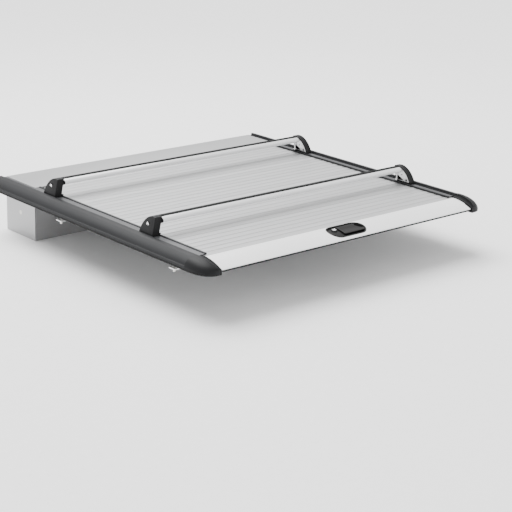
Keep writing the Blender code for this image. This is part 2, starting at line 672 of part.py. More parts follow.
def build_latch(mats):
    """Rocker under the handle and the two rods that it draws in."""
    mid = LATCH_T
    stub = BOWL_LOW + BOWL_WALL - 0.0005
    plate = [(0.0, 0.0153), (0.0205, 0.0153), (0.0205, 0.0173), (0.0030, 0.0173), (0.0030, stub), (0.0, stub)]
    rocker = lathe("latch_rocker", plate, (0.0, y_at(mid), 0.0), (0, 0, 1), mats["steel"])
    pins = []
    for s in (-1, 1):
        pins.append(prism_z("pin", circle(0.0, mid + s * ROCKER_R, 0.0018, 10), 0.0085, 0.0160, None))
    combine(rocker, pins, "UNION")
    hang([rocker], joint_empty("rocker_axis", (0.0, y_at(mid), 0.0)))
    for side, label in ((-1, "left"), (1, "right")):
        t = mid - side * ROCKER_R
        low, high = sorted((-side * 0.0080, side * LATCH_REACH))
        rod = box(f"{label}_latch_rod", (low, high), (t - ROD_WIDE / 2, t + ROD_WIDE / 2),
                  (ROD_LOW, ROD_TOP), mats["steel"])
        hole = box("hole", (-0.0026, 0.0026), (t - 0.0045, t + 0.0045), (0.0, 0.03))
        combine(rod, [hole], "DIFFERENCE")
        hang([rod], joint_empty(f"{label}_rod_axis", (0.0, y_at(t), 0.0)))


# ---------------------------------------------------------------- crossbars
def bar_outline(count=28):
    points = []
    for i in range(count):
        angle = tau * (i + 0.5) / count
        d = BAR_CHORD * cos(angle)
        z = BAR_MID_Z + (BAR_UP if sin(angle) > 0 else BAR_DOWN) * sin(angle)
        if sin(angle) > 0 and abs(d) < STRIP_HALF + 0.0015:
            continue
        points.append((d, z))
    edge = BAR_MID_Z + BAR_UP * sqrt(1 - (STRIP_HALF / BAR_CHORD) ** 2)
    notch = [(STRIP_HALF, edge), (STRIP_HALF, STRIP_SEAT), (-STRIP_HALF, STRIP_SEAT), (-STRIP_HALF, edge)]
    split = next(i for i, p in enumerate(points) if p[0] < 0 and p[1] > BAR_MID_Z)
    return points[:split] + notch + points[split:]


def inset_outline(points, distance):
    """Moves each side of a closed outline inward by distance."""
    count = len(points)
    turn = sum(points[i - 1][0] * points[i][1] - points[i][0] * points[i - 1][1] for i in range(count))
    sign = 1 if turn > 0 else -1
    result = []
    for i in range(count):
        here = Vector(points[i])
        before = (here - Vector(points[i - 1])).normalized()
        after = (Vector(points[(i + 1) % count]) - here).normalized()
        inward = Vector((-before.y - after.y, before.x + after.x)) * sign
        result.append(tuple(here + inward * distance / (1 + before.dot(after))))
    return result


def foot_outline(steps=12):
    """Side view of a foot as (d, z): straight cab side, round nose toward the tailgate."""
    points = [(FOOT_BACK, FOOT_LOW), (FOOT_BACK, FOOT_HIGH - 0.006), (FOOT_BACK - 0.004, FOOT_HIGH - 0.001)]
    ends = ((0.004, FOOT_HIGH), (-0.026, FOOT_HIGH), (-0.060, FOOT_LOW + 0.052), (FOOT_NOSE, FOOT_LOW))
    for i in range(steps + 1):
        s = i / steps
        shares = ((1 - s) ** 3, 3 * s * (1 - s) ** 2, 3 * s * s * (1 - s), s ** 3)
        points.append(tuple(sum(k * end[n] for k, end in zip(shares, ends)) for n in (0, 1)))
    return points


def lean(obj):
    """Leans a foot piece inward with height."""
    for vert in obj.data.vertices:
        vert.co.x -= FOOT_LEAN * max(0.0, vert.co.z - FOOT_LOW) / (FOOT_HIGH - FOOT_LOW)


def build_collar(bar_t):
    """Half collar round the bar's end on the foot's straight side, with a tab into the cover's wall."""
    line = [(bar_t - 0.002, BAR_MID_Z + BAR_UP + COLLAR), (bar_t - 0.002, BAR_MID_Z - BAR_DOWN - COLLAR)]
    for i in range(17):
        angle = pi * (i / 16 - 0.5)
        high = BAR_UP if angle > 0 else BAR_DOWN
        line.append((bar_t + (BAR_CHORD + COLLAR) * cos(angle), BAR_MID_Z + (high + COLLAR) * sin(angle)))
    collar = prism_x("collar", line, BAR_HALF + 0.0004, 0.7095, None)
    hole = box("hole", (0.69, 0.72), (bar_t - 0.01, bar_t + 0.0180), (BAR_MID_Z - 0.0067, BAR_MID_Z + 0.0065))
    combine(collar, [hole], "DIFFERENCE")
    wall = bar_t + FOOT_BACK
    tab = box("tab", (BAR_HALF + 0.0010, 0.7220), (wall - FOOT_WALL + 0.0004, wall - 0.0004),
              (BAR_MID_Z - BAR_DOWN + 0.0010, BAR_MID_Z + BAR_UP - 0.0040))
    return [collar, tab]


def build_foot(bar_t, name, mats):
    """Right-hand foot of a bar: black cover, aluminium bracket with T-head, and lock bolt."""
    def shifted(points):
        return [(bar_t + d, z) for d, z in points]

    cover = prism_x(f"{name}_cover", shifted(foot_outline()), FOOT_IN, FOOT_OUT, mats["plastic"])
    pocket_line = inset_outline(foot_outline(), FOOT_WALL)
    pocket_line += [(pocket_line[-1][0], FOOT_LOW - 0.01), (pocket_line[0][0], FOOT_LOW - 0.01)]
    pocket = prism_x("pocket", shifted(pocket_line), FOOT_IN - 0.01, FOOT_OUT - FOOT_WALL, None)
    combine(cover, [pocket], "DIFFERENCE")
    lean(cover)
    bolt_z = 0.095
    bolt_t = bar_t - 0.022
    lean_at = FOOT_LEAN * (bolt_z - FOOT_LOW) / (FOOT_HIGH - FOOT_LOW)
    face = FOOT_OUT - lean_at
    drill = prism_x("drill", circle(bolt_t, bolt_z, 0.0086, 16), face - 0.02, face + 0.02, None)
    combine(cover, [drill], "DIFFERENCE")
    combine(cover, build_collar(bar_t), "UNION")

    web_line = shifted(inset_outline(foot_outline(), FOOT_WALL + 0.0008))
    web = prism_x(f"{name}_bracket", web_line, FOOT_IN + 0.0015, FOOT_IN + 0.0055, mats["bare"])
    lean(web)
    nose = bar_t + FOOT_NOSE
    back = bar_t + FOOT_BACK
    base = box("base", (FOOT_IN + 0.0005, RIDGE_IN - 0.0020), (nose + 0.0006, back),
               (DECK + GAP, FOOT_LOW - GAP))
    heel = box("heel", (FOOT_IN + 0.0012, FOOT_IN + 0.0180), (nose + 0.012, back - 0.006),
               (FOOT_LOW - 0.002, FOOT_LOW + 0.0060))
    neck = box("neck", (SLOT_MID - SLOT_HALF + 0.0005, SLOT_MID + SLOT_HALF - 0.0005),
               (nose + 0.014, back - 0.010), (CAVITY_TOP - 0.004, DECK + 0.002))
    head = box("head", (SLOT_MID - CAVITY_HALF + 0.0007, SLOT_MID + CAVITY_HALF - 0.0007),
               (nose + 0.012, back - 0.008), (CAVITY_LOW + 0.0007, CAVITY_TOP - 0.0005))
    spigot = box("spigot", (BAR_HALF - 0.040, FOOT_IN - 0.004), (bar_t - 0.0175, bar_t + 0.0175),
                 (BAR_MID_Z - 0.0062, BAR_MID_Z + 0.0060))
    combine(web, [base, heel, neck, head, spigot], "UNION")
    hole = prism_x("hole", circle(bolt_t, bolt_z, 0.0046, 12), 0.69, 0.78, None)
    combine(web, [hole], "DIFFERENCE")

    shank = [(0.0, 0.0), (0.0080, 0.0), (0.0080, -0.0055), (0.0042, -0.0055), (0.0042, -0.0330),
             (0.0, -0.0330)]
    bolt = lathe(f"{name}_lock", shank, (face + 0.0012, y_at(bolt_t), bolt_z), (1, 0, 0), mats["bare"], 16)
    return [cover, web, bolt]


def build_crossbar(bar_t, label, mats):
    outline = [(bar_t + d, z) for d, z in bar_outline()]
    inner = []
    for i in range(20):
        angle = tau * (i + 0.5) / 20
        high = BAR_UP - 0.0062 if sin(angle) > 0 else BAR_DOWN - BAR_WALL
        inner.append((bar_t + (BAR_CHORD - BAR_WALL) * cos(angle), BAR_MID_Z + high * sin(angle)))
    bar = prism_x(f"{label}_bar", outline, -BAR_HALF, BAR_HALF, mats["bare"], [inner])
    half = STRIP_HALF - GAP
    strip = [(bar_t - half, STRIP_SEAT + GAP), (bar_t + half, STRIP_SEAT + GAP),
             (bar_t + half, STRIP_TOP - 0.0025), (bar_t + half - 0.0020, STRIP_TOP),
             (bar_t - half + 0.0020, STRIP_TOP), (bar_t - half, STRIP_TOP - 0.0025)]
    strip_half = BAR_HALF - 0.001
    rubber = prism_x(f"{label}_bar_strip", strip, -strip_half, strip_half, mats["rubber"])
    pieces = [bar, rubber]
    middle = Vector((0.0, y_at(bar_t), 0.0))
    half_turn = Matrix.Translation(middle) @ Matrix.Rotation(pi, 4, "Z") @ Matrix.Translation(-middle)
    for side in ("right", "left"):
        foot = build_foot(bar_t, f"{label}_bar_{side}", mats)
        if side == "left":
            for piece in foot:
                piece.data.transform(half_turn)
        pieces += foot
    hang(pieces, joint_empty(f"{label}_bar_axis", (0.0, y_at(bar_t), 0.0)))


# ---------------------------------------------------------------- clamps
def build_clamps(mats):
    """Four J-shaped clamps that hold the rails down on the bed's flange, each with its screw."""
    half = CLAMP_LONG / 2
    foot_top = CLAMP_LOW + 0.006
    neck = CLAMP_LOW - 0.0005
    hook = [(0.7108, CLAMP_LOW), (0.7500, CLAMP_LOW), (0.7500, foot_top), (0.7156, foot_top),
            (0.7156, -0.0010), (0.7108, -0.0010)]
    screw = [(0.0, -0.070), (0.0070, -0.070), (0.0070, neck), (0.0040, neck),
             (0.0040, -0.022), (0.0090, -0.022), (0.0090, -0.018), (0.0, -0.018)]
    for place, t in zip(("rear", "front"), CLAMP_T):
        for side, label in ((-1, "left"), (1, "right")):
            body = prism_y(f"{place}_{label}_clamp", hook, t - half, t + half, side, mats["bare"])
            outline = circle(side * CLAMP_SCREW_U, t, 0.0044, 12)
            combine(body, [prism_z("drill", outline, CLAMP_LOW - 0.01, foot_top + 0.01, None)], "DIFFERENCE")
            origin = (side * CLAMP_SCREW_U, y_at(t), 0.0)
            lathe(f"{place}_{label}_clamp_screw", screw, origin, (0, 0, 1), mats["steel"], 12)


def main():
    clear_scene()
    mats = make_materials()
    for side, label in ((-1, "left"), (1, "right")):
        build_rail(side, label, mats)
        build_end_cap(side, label, mats)
    build_canister(mats)
    build_drum(mats)
    build_slats(mats)
    build_descending_slats(mats)
    lead = build_lead(mats)
    lead += build_handle(mats)
    build_latch(mats)
    hang(lead, joint_empty("lead_axis", (0.0, y_at(0.0), 0.0)))
    build_crossbar(BAR_REAR_T, "rear", mats)
    build_crossbar(BAR_FRONT_T, "front", mats)
    build_clamps(mats)


main()
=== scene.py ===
"""The look of a roll-up tonneau cover with two crossbars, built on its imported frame.

Metres, +Z up, +Y toward the cab. Distances called t run from the tailgate edge toward the cab.
"""
from math import cos, pi, radians, sin, sqrt, tan, tau

import bmesh
import bpy
from mathutils import Matrix, Vector
from mathutils.geometry import tessellate_polygon


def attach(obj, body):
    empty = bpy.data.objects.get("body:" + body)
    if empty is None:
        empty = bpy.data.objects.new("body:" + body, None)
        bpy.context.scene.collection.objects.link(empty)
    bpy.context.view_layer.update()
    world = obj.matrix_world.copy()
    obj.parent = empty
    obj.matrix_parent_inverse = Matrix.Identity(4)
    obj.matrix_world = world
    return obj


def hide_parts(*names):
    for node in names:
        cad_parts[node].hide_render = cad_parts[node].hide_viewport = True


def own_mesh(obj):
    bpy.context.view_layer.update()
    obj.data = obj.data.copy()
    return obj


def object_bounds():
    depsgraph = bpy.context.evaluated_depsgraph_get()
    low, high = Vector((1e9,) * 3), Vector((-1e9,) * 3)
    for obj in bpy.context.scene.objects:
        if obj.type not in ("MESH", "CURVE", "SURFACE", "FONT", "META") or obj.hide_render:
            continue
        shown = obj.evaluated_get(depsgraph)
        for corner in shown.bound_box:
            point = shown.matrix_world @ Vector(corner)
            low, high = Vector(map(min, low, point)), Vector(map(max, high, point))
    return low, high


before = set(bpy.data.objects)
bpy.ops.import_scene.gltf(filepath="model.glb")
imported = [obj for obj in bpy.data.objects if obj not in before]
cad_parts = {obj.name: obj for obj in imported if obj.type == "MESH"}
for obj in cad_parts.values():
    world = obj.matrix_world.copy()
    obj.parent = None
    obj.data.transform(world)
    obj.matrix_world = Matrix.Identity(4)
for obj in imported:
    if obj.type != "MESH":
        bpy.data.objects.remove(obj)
CAD_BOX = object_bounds()

LENGTH = 1.565  # tailgate edge to cab edge
GAP = 0.0003  # between pieces that lie against each other

# Curtain: slats, and the curved lead slat at the tailgate
SLAT_COUNT = 30
SLAT_TOP = 0.045
SLAT_THICK = 0.0145
SLAT_LOW = SLAT_TOP - SLAT_THICK
SLAT_MID = SLAT_TOP - SLAT_THICK / 2
SLAT_PITCH = 0.0405
SLAT_HALF = 0.739  # half of its width
TONGUE = 0.0046  # how far a slat's tongue reaches into the next hook
LEAD_DEPTH = 0.111
LEAD_RADIUS = 0.238
LEAD_SKIN = 0.003

# Side rail, with x counted from the middle of the cover
LIP_TOP = 0.053
DECK = 0.0495
RIDGE_IN = 0.7675
RIDGE_TOP = 0.0575
RAIL_OUT = 0.8275

# End cap of a rail
CAP_T = 0.122  # seam with the rail
CAP_TIP = -0.006
CAP_IN = 0.7408
CAP_OUT = 0.8300

# Canister lid
LID_T = 1.321
LID_HALF = 0.7425

# Handle, lever, lock and latch in the lead slat
HANDLE_T = 0.0590
HANDLE_HALF = 0.104  # half of its length
HANDLE_R = 0.0465  # radius of its round ends
HANDLE_WALL = 0.0062  # rim's outside to the bowl's inside
FLOOR_IN = 0.0205  # floor of the bowl
LEVER_T = 0.0945  # lever's pin
LEVER_Z = 0.0385
LEVER_HUB = 0.0042
LOCK_X = -0.053
LOCK_T = 0.0785
LOCK_TOP = 0.0430
LATCH_T = 0.0675  # rocker's pivot
LATCH_ARM = 0.016  # pivot to each rod

# Crossbars
REAR_BAR_T = 0.440
FRONT_BAR_T = 1.155
BAR_HALF = 0.707
BAR_MID_Z = 0.1115
BAR_CHORD = 0.029  # half of the bar's width along the bed
BAR_UP = 0.0155
BAR_DOWN = 0.0125
COLLAR = 0.0008
STRIP_HALF = 0.0095
STRIP_SEAT = 0.1238
STRIP_TOP = 0.1300

# Crossbar feet: heights, x of the two faces, and ends along the bed from the bar's middle
FOOT_LOW = 0.0538
FOOT_HIGH = 0.1312
FOOT_IN = 0.7245
FOOT_OUT = 0.7600
FOOT_LEAN = 0.016  # how far the foot's top leans in
FOOT_BACK = 0.022
FOOT_NOSE = -0.070
BOLT_BEHIND = 0.022  # lock bolt, toward the tailgate
BOLT_Z = 0.095

CLAMP_X = 0.735  # clamp's screw


def y_at(t):
    return t - LENGTH


def lead_top(t):
    """Height of the curtain's top at t: flat, and curving down over the lead slat."""
    dip = max(0.0, LEAD_DEPTH - t)
    return SLAT_TOP - dip * dip / (2.0 * LEAD_RADIUS)


# ---------------------------------------------------------------- materials
def surface(name, color, metallic, roughness, scale, tint, swing, bump, depth,
            broad=(5.0, 5.0, 5.0), broad_tint=0.04, specular=0.5):
    """A finish with fine grain, broad tone changes, uneven gloss and a bump from its grain.

    scale and broad are the noise scales of grain and tone, tint and broad_tint the share by which
    they change the colour, swing the change of roughness, depth the height of the bump.
    """
    mat = bpy.data.materials.new(name)
    mat.use_nodes = True
    mat.diffuse_color = (*color, 1.0)
    tree = mat.node_tree
    link = tree.links.new
    bsdf = tree.nodes["Principled BSDF"]
    bsdf.inputs["Metallic"].default_value = metallic
    bsdf.inputs["Specular IOR Level"].default_value = specular
    coord = tree.nodes.new("ShaderNodeTexCoord")

    def noise(size, detail):
        mapping = tree.nodes.new("ShaderNodeMapping")
        mapping.inputs["Scale"].default_value = size
        link(coord.outputs["Object"], mapping.inputs["Vector"])
        tex = tree.nodes.new("ShaderNodeTexNoise")
        tex.inputs["Scale"].default_value = 1.0
        tex.inputs["Detail"].default_value = detail
        link(mapping.outputs["Vector"], tex.inputs["Vector"])
        return tex.outputs["Fac"]

    def spread(source, low, high):
        node = tree.nodes.new("ShaderNodeMapRange")
        node.inputs["From Min"].default_value = 0.3
        node.inputs["From Max"].default_value = 0.7
        node.inputs["To Min"].default_value = low
        node.inputs["To Max"].default_value = high
        link(source, node.inputs["Value"])
        return node.outputs["Result"]

    grain = noise(scale, 4.0)
    patch = noise(broad, 3.0)
    shade = tree.nodes.new("ShaderNodeMath")
    shade.operation = "MULTIPLY"
    link(spread(grain, 1.0 - tint, 1.0 + tint), shade.inputs[0])
    link(spread(patch, 1.0 - broad_tint, 1.0 + broad_tint), shade.inputs[1])
    tone = tree.nodes.new("ShaderNodeVectorMath")
    tone.operation = "SCALE"
    tone.inputs[0].default_value = color
    link(shade.outputs[0], tone.inputs["Scale"])
    link(tone.outputs["Vector"], bsdf.inputs["Base Color"])
    gloss = tree.nodes.new("ShaderNodeMath")
    gloss.operation = "ADD"
    link(spread(patch, roughness - swing, roughness + swing), gloss.inputs[0])
    link(spread(grain, -swing * 0.5, swing * 0.5), gloss.inputs[1])
    link(gloss.outputs[0], bsdf.inputs["Roughness"])
    relief = tree.nodes.new("ShaderNodeBump")
    relief.inputs["Strength"].default_value = bump
    relief.inputs["Distance"].default_value = depth
    link(grain, relief.inputs["Height"])
    link(relief.outputs["Normal"], bsdf.inputs["Normal"])
    return mat


def even(size):
    return (size, size, size)


BRUSHED = (5.0, 900.0, 900.0)  # grain drawn out along x
MATS = {
    "slat": surface("slat_anodised", (0.50, 0.503, 0.507), 0.60, 0.42, BRUSHED, 0.035, 0.04,
                    0.08, 0.0001, (0.25, 24.7, 3.0), 0.045),
    "lead": surface("lead_slat_anodised", (0.97, 0.972, 0.975), 0.22, 0.34, BRUSHED, 0.02, 0.04,
                    0.05, 0.0001, (2.0, 6.0, 6.0), 0.02),
    "lid": surface("lid_anodised", (0.42, 0.423, 0.427), 0.7, 0.40, BRUSHED, 0.025, 0.04,
                   0.05, 0.0001, (1.0, 3.0, 3.0), 0.02),
    "bar": surface("bar_anodised", (0.88, 0.885, 0.89), 0.55, 0.30, BRUSHED, 0.03, 0.05,
                   0.06, 0.0001, (2.0, 20.0, 20.0), 0.03),
    "bare": surface("bracket_aluminium", even(0.90), 0.6, 0.32, even(500), 0.04, 0.06, 0.15, 0.0001),
    "rail": surface("rail_powder_coat", (0.016, 0.0165, 0.0178), 0.0, 0.46, even(1100), 0.10, 0.05,
                    0.22, 0.0002, (4.0, 2.0, 4.0), 0.10, specular=0.14),
    # deck: painted sheen, a lighter colour on the rail's flat deck faces, which are the same black powder
    # coat as the rest of the rail
    "deck": surface("rail_deck_painted_sheen", (0.075, 0.076, 0.080), 0.2, 0.34, even(1100), 0.08, 0.05,
                    0.12, 0.0001, (4.0, 2.0, 4.0), 0.08),
    "cap": surface("cap_plastic", (0.0105, 0.0108, 0.0115), 0.0, 0.42, even(1500), 0.12, 0.05,
                   0.30, 0.0002, even(9.0), 0.10, specular=0.13),
    "plastic": surface("handle_plastic", (0.010, 0.0098, 0.0098), 0.0, 0.40, even(1600), 0.10, 0.05,
                       0.15, 0.0001, even(14.0), 0.10, specular=0.16),
    "foot": surface("foot_plastic", (0.010, 0.0100, 0.0108), 0.0, 0.46, even(1400), 0.12, 0.06,
                    0.30, 0.0002, even(12.0), 0.12, specular=0.20),
    "rubber": surface("seal_rubber", (0.009, 0.009, 0.0095), 0.0, 0.62, even(700), 0.15, 0.06,
                      0.25, 0.0002, even(8.0), 0.10, specular=0.20),
    "sheet": surface("canister_sheet", (0.40, 0.40, 0.405), 0.85, 0.42, (9.0, 500.0, 500.0), 0.04, 0.06,
                     0.08, 0.0001),
    "steel": surface("zinc_steel", (0.60, 0.59, 0.56), 0.95, 0.34, even(350), 0.10, 0.08,
                     0.15, 0.0001, even(40.0), 0.08),
    "key": surface("key_chrome", even(0.90), 1.0, 0.14, even(800), 0.02, 0.03, 0.04, 0.0001),
}


# ---------------------------------------------------------------- mesh helpers
SMOOTH = 0.6  # edges that turn by more than this stay sharp


def make_object(name, bm, finish=None, smooth=SMOOTH):
    """Turns a bmesh into an object of the scene, with its finish."""
    bmesh.ops.remove_doubles(bm, verts=bm.verts, dist=1e-7)
    bmesh.ops.recalc_face_normals(bm, faces=bm.faces)
    mesh = bpy.data.meshes.new(name)
    bm.to_mesh(mesh)
    bm.free()
    mesh.shade_smooth()
    mesh.set_sharp_from_angle(angle=smooth)
    obj = bpy.data.objects.new(name, mesh)
    bpy.context.scene.collection.objects.link(obj)
    if finish:
        mesh.materials.append(MATS[finish])
    return obj


def baked(obj):
    """Applies the object's modifiers."""
    graph = bpy.context.evaluated_depsgraph_get()
    mesh = bpy.data.meshes.new_from_object(obj.evaluated_get(graph))
    obj.modifiers.clear()
    obj.data = mesh
    mesh.shade_smooth()
    mesh.set_sharp_from_angle(angle=SMOOTH)
    return obj


def bevelled(obj, width, segments=3, angle=0.7):
    step = obj.modifiers.new("bevel", "BEVEL")
    step.width = width
    step.segments = segments
    step.limit_method = "ANGLE"
    step.angle_limit = angle
    step.use_clamp_overlap = True
    return baked(obj)


def cut(target, tools, operation="DIFFERENCE"):
    """Takes each tool away from the target, or keeps what both share, and deletes the tool."""
    for tool in tools:
        step = target.modifiers.new("cut", "BOOLEAN")
        step.operation = operation
        step.solver = "EXACT"
        step.object = tool
        baked(target)
        bpy.data.objects.remove(tool, do_unlink=True)
    return target


def offset(points, distance):
    """Moves each side of a closed outline inward by distance."""
    count = len(points)
    area = sum(points[i - 1][0] * points[i][1] - points[i][0] * points[i - 1][1] for i in range(count))
    sign = 1 if area > 0 else -1
    result = []
    for i in range(count):
        here = Vector(points[i])
        before = (here - Vector(points[i - 1])).normalized()
        after = (Vector(points[(i + 1) % count]) - here).normalized()
        inward = Vector((-before.y - after.y, before.x + after.x)) * sign
        result.append(tuple(here + inward * distance / max(0.3, 1 + before.dot(after))))
    return result


def fillet(points, radius, steps=4, keep=0.35):
    """Rounds the corners of a closed outline that turn by more than keep."""
    result = []
    for i, point in enumerate(points):
        here = Vector(point)
        back = Vector(points[i - 1]) - here
        ahead = Vector(points[(i + 1) % len(points)]) - here
        angle = back.angle(ahead)
        if angle > pi - keep:
            result.append(tuple(here))
            continue
        run = min(radius / tan(angle / 2), 0.45 * back.length, 0.45 * ahead.length)
        start = here + back.normalized() * run
        end = here + ahead.normalized() * run
        for k in range(steps + 1):
            s = k / steps
            result.append(tuple(start * (1 - s) ** 2 + here * (2 * s * (1 - s)) + end * s * s))
    return result


def spline(points, per=4):
    """A smooth open line through points."""
    ends = [points[0], *points, points[-1]]
    result = []
    for i in range(1, len(ends) - 2):
        a, b, c, d = (Vector(p) for p in ends[i - 1:i + 3])
        for k in range(per):
            s = k / per
            result.append(tuple(0.5 * ((2 * b) + (c - a) * s + (2 * a - 5 * b + 4 * c - d) * s * s
                                       + (3 * b - a - 3 * c + d) * s ** 3)))
    return result + [tuple(points[-1])]


def prism(name, outline, place, low, high, finish=None, holes=(), chamfer=0.0, smooth=SMOOTH):
    """Extrudes an outline with holes from low to high; place(a, b, c) gives (x, y, z)."""
    loops = [list(outline)] + [list(hole) for hole in holes]
    levels = [(low, 0.0), (high, 0.0)]
    if chamfer:
        levels = [(low, chamfer), (low + chamfer, 0.0), (high - chamfer, 0.0), (high, chamfer)]
    bm = bmesh.new()
    rings = []
    flat = []
    for level, inset in levels:
        shaped = loops
        if inset:
            shaped = [offset(loops[0], inset)] + [offset(hole, -inset) for hole in loops[1:]]
        flat.append([point for loop in shaped for point in loop])
        rings.append([bm.verts.new(place(a, b, level)) for a, b in flat[-1]])
    for side in (0, -1):
        start = 0
        outlines = []
        for loop in loops:
            outlines.append([Vector((*p, 0.0)) for p in flat[side][start:start + len(loop)]])
            start += len(loop)
        for corner in tessellate_polygon(outlines):
            bm.faces.new([rings[side][i] for i in corner])
    start = 0
    for loop in loops:
        count = len(loop)
        for below, above in zip(rings, rings[1:]):
            for i in range(count):
                j = (i + 1) % count
                bm.faces.new([below[start + i], below[start + j], above[start + j], above[start + i]])
        start += count
    return make_object(name, bm, finish, smooth)


def prism_x(name, outline, low, high, finish=None, **more):
    return prism(name, outline, lambda t, z, x: (x, y_at(t), z), low, high, finish, **more)


def prism_y(name, outline, low, high, side, finish=None, **more):
    return prism(name, outline, lambda u, z, t: (side * u, y_at(t), z), low, high, finish, **more)


def prism_z(name, outline, low, high, finish=None, **more):
    return prism(name, outline, lambda x, t, z: (x, y_at(t), z), low, high, finish, **more)


def block(x, t, z):
    """A box between pairs of x, t and z, used as a cutting tool."""
    outline = [(t[0], z[0]), (t[1], z[0]), (t[1], z[1]), (t[0], z[1])]
    return prism_x("block", outline, x[0], x[1])


def circle(a, b, radius, count=32):
    return [(a + radius * cos(tau * i / count), b + radius * sin(tau * i / count)) for i in range(count)]


def stadium(half_length, radius, mid, count=28):
    """Outline with two straight sides and round ends, in x and t."""
    points = []
    for side, start in ((1, -pi / 2), (-1, pi / 2)):
        for i in range(count + 1):
            angle = start + pi * i / count
            points.append((side * (half_length - radius) + radius * cos(angle), mid + radius * sin(angle)))
    return points


def lathe(name, profile, origin, axis, finish, count=40):
    """Turns (radius, height) points about an axis; a radius of 0 closes the end."""
    bm = bmesh.new()
    turn = Vector((0, 0, 1)).rotation_difference(Vector(axis)).to_matrix().to_4x4()
    place = Matrix.Translation(Vector(origin)) @ turn
    rings = []
    for radius, height in profile:
        ring = []
        for i in range(count if radius else 1):
            angle = tau * i / count
            ring.append(bm.verts.new(place @ Vector((radius * cos(angle), radius * sin(angle), height))))
        rings.append(ring)
    for low, high in zip(rings, rings[1:]):
        for i in range(count):
            j = (i + 1) % count
            if len(low) == 1:
                bm.faces.new([low[0], high[j], high[i]])
            elif len(high) == 1:
                bm.faces.new([low[i], low[j], high[0]])
            else:
                bm.faces.new([low[i], low[j], high[j], high[i]])
    return make_object(name, bm, finish)


def skin(name, rings, finish, smooth=SMOOTH):
    """Joins closed rings of points into one surface, with a face over each end ring."""
    bm = bmesh.new()
    rows = [[bm.verts.new(point) for point in ring] for ring in rings]
    count = len(rows[0])
    for low, high in zip(rows, rows[1:]):
        for i in range(count):
            j = (i + 1) % count
            bm.faces.new([low[i], low[j], high[j], high[i]])
    for row in (rows[0], rows[-1]):
        bm.faces.new(row)
    return make_object(name, bm, finish, smooth)


def rides(obj, body, *nodes):
    """Puts a piece on its body and hides the CAD nodes that it stands for."""
    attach(obj, body)
    if nodes:
        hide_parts(*nodes)
    return obj


# ---------------------------------------------------------------- side rails and bed seals
def rail_outline():
    """Section of the right-hand rail: curtain channel, inner lip, deck with T-slot, ridge, outer skirt."""
    top = (RIDGE_IN + 0.007, RIDGE_TOP)
    knee = (0.7960, 0.0500)
    side = (0.8240, 0.0232)
    outer = []
    steps = 16
    for start, bend, end in ((top, (0.7870, 0.0565), knee), (knee, (0.8160, 0.0370), side)):
        for i in range(steps):
            s = i / steps
            mix = ((1 - s) ** 2, 2 * s * (1 - s), s * s)
            outer.append(tuple(sum(m * p[n] for m, p in zip(mix, (start, bend, end))) for n in (0, 1)))
    outer += [side, (0.8240, 0.0205), (0.8262, 0.0192), (RAIL_OUT, 0.0178), (RAIL_OUT, 0.0098),
              (0.8262, 0.0085)]
    guide = [(0.716, -0.020), (0.7195, -0.020), (0.7195, 0.0), (0.8182, 0.0), (0.8182, 0.0085)]
    ridge = [(RIDGE_IN + 0.0018, RIDGE_TOP), (RIDGE_IN, RIDGE_TOP - 0.0018)]
    slot = [(RIDGE_IN, DECK), (0.7645, DECK), (0.7645, 0.0450), (0.7685, 0.0450), (0.7685, 0.0355),
            (0.7495, 0.0355), (0.7495, 0.0450), (0.7535, 0.0450), (0.7535, DECK), (0.7246, DECK)]
    lip = [(0.7210, LIP_TOP), (0.713, LIP_TOP), (0.713, 0.0466)]
    channel = [(0.7415, 0.0466), (0.7415, 0.0302), (0.7355, 0.0302), (0.7355, 0.0262), (0.7415, 0.0262),
               (0.7415, 0.0040), (0.716, 0.0040)]
    return guide + outer[::-1] + ridge + slot + lip + channel


def build_rail(side, label):
    """Hollow rail, cut back where the canister lid lies, with a painted sheen on its flat deck, and the seal
    under its outer edge.
    """
    chamber = [(0.7745, 0.0045), (0.8140, 0.0045), (0.8195, 0.0125), (0.8175, 0.0215), (0.7975, 0.0430),
               (0.7760, 0.0500), (0.7725, 0.0480), (0.7725, 0.0270), (0.7545, 0.0270), (0.7545, 0.0045)]
    rail = prism_y(f"{label}_rail_skin", fillet(rail_outline(), 0.0008), CAP_T + GAP, LENGTH, side,
                   "rail", holes=[fillet(chamber, 0.0015)])
    lid_room = sorted((side * 0.70, side * 0.7445))
    cut(rail, [block(lid_room, (LID_T - 0.0005, LENGTH + 0.01), (-0.03, 0.07))])
    # The flat deck faces take the deck finish, whose lighter colour is a painted sheen on the same powder
    # coat.
    rail.data.materials.append(MATS["deck"])
    for face in rail.data.polygons:
        level = abs(face.normal.z) > 0.99 and abs(face.center.z - DECK) < 0.0002
        if level and 0.724 < abs(face.center.x) < 0.754:
            face.material_index = 1
    rides(rail, "frame", f"{label}_rail")
    seal = [(0.8188, 0.0), (0.8230, 0.0004), (0.8266, 0.0), (0.8275, 0.0016), (0.8272, 0.0040),
            (0.8262, 0.0048), (0.8268, 0.0060), (0.8266, 0.0081), (0.8188, 0.0081)]
    strip = prism_y(f"{label}_bed_seal_skin", fillet(seal, 0.0005), CAP_T + GAP, LENGTH, side,
                    "rubber", chamfer=0.0003)
    rides(strip, "frame", f"{label}_bed_seal")


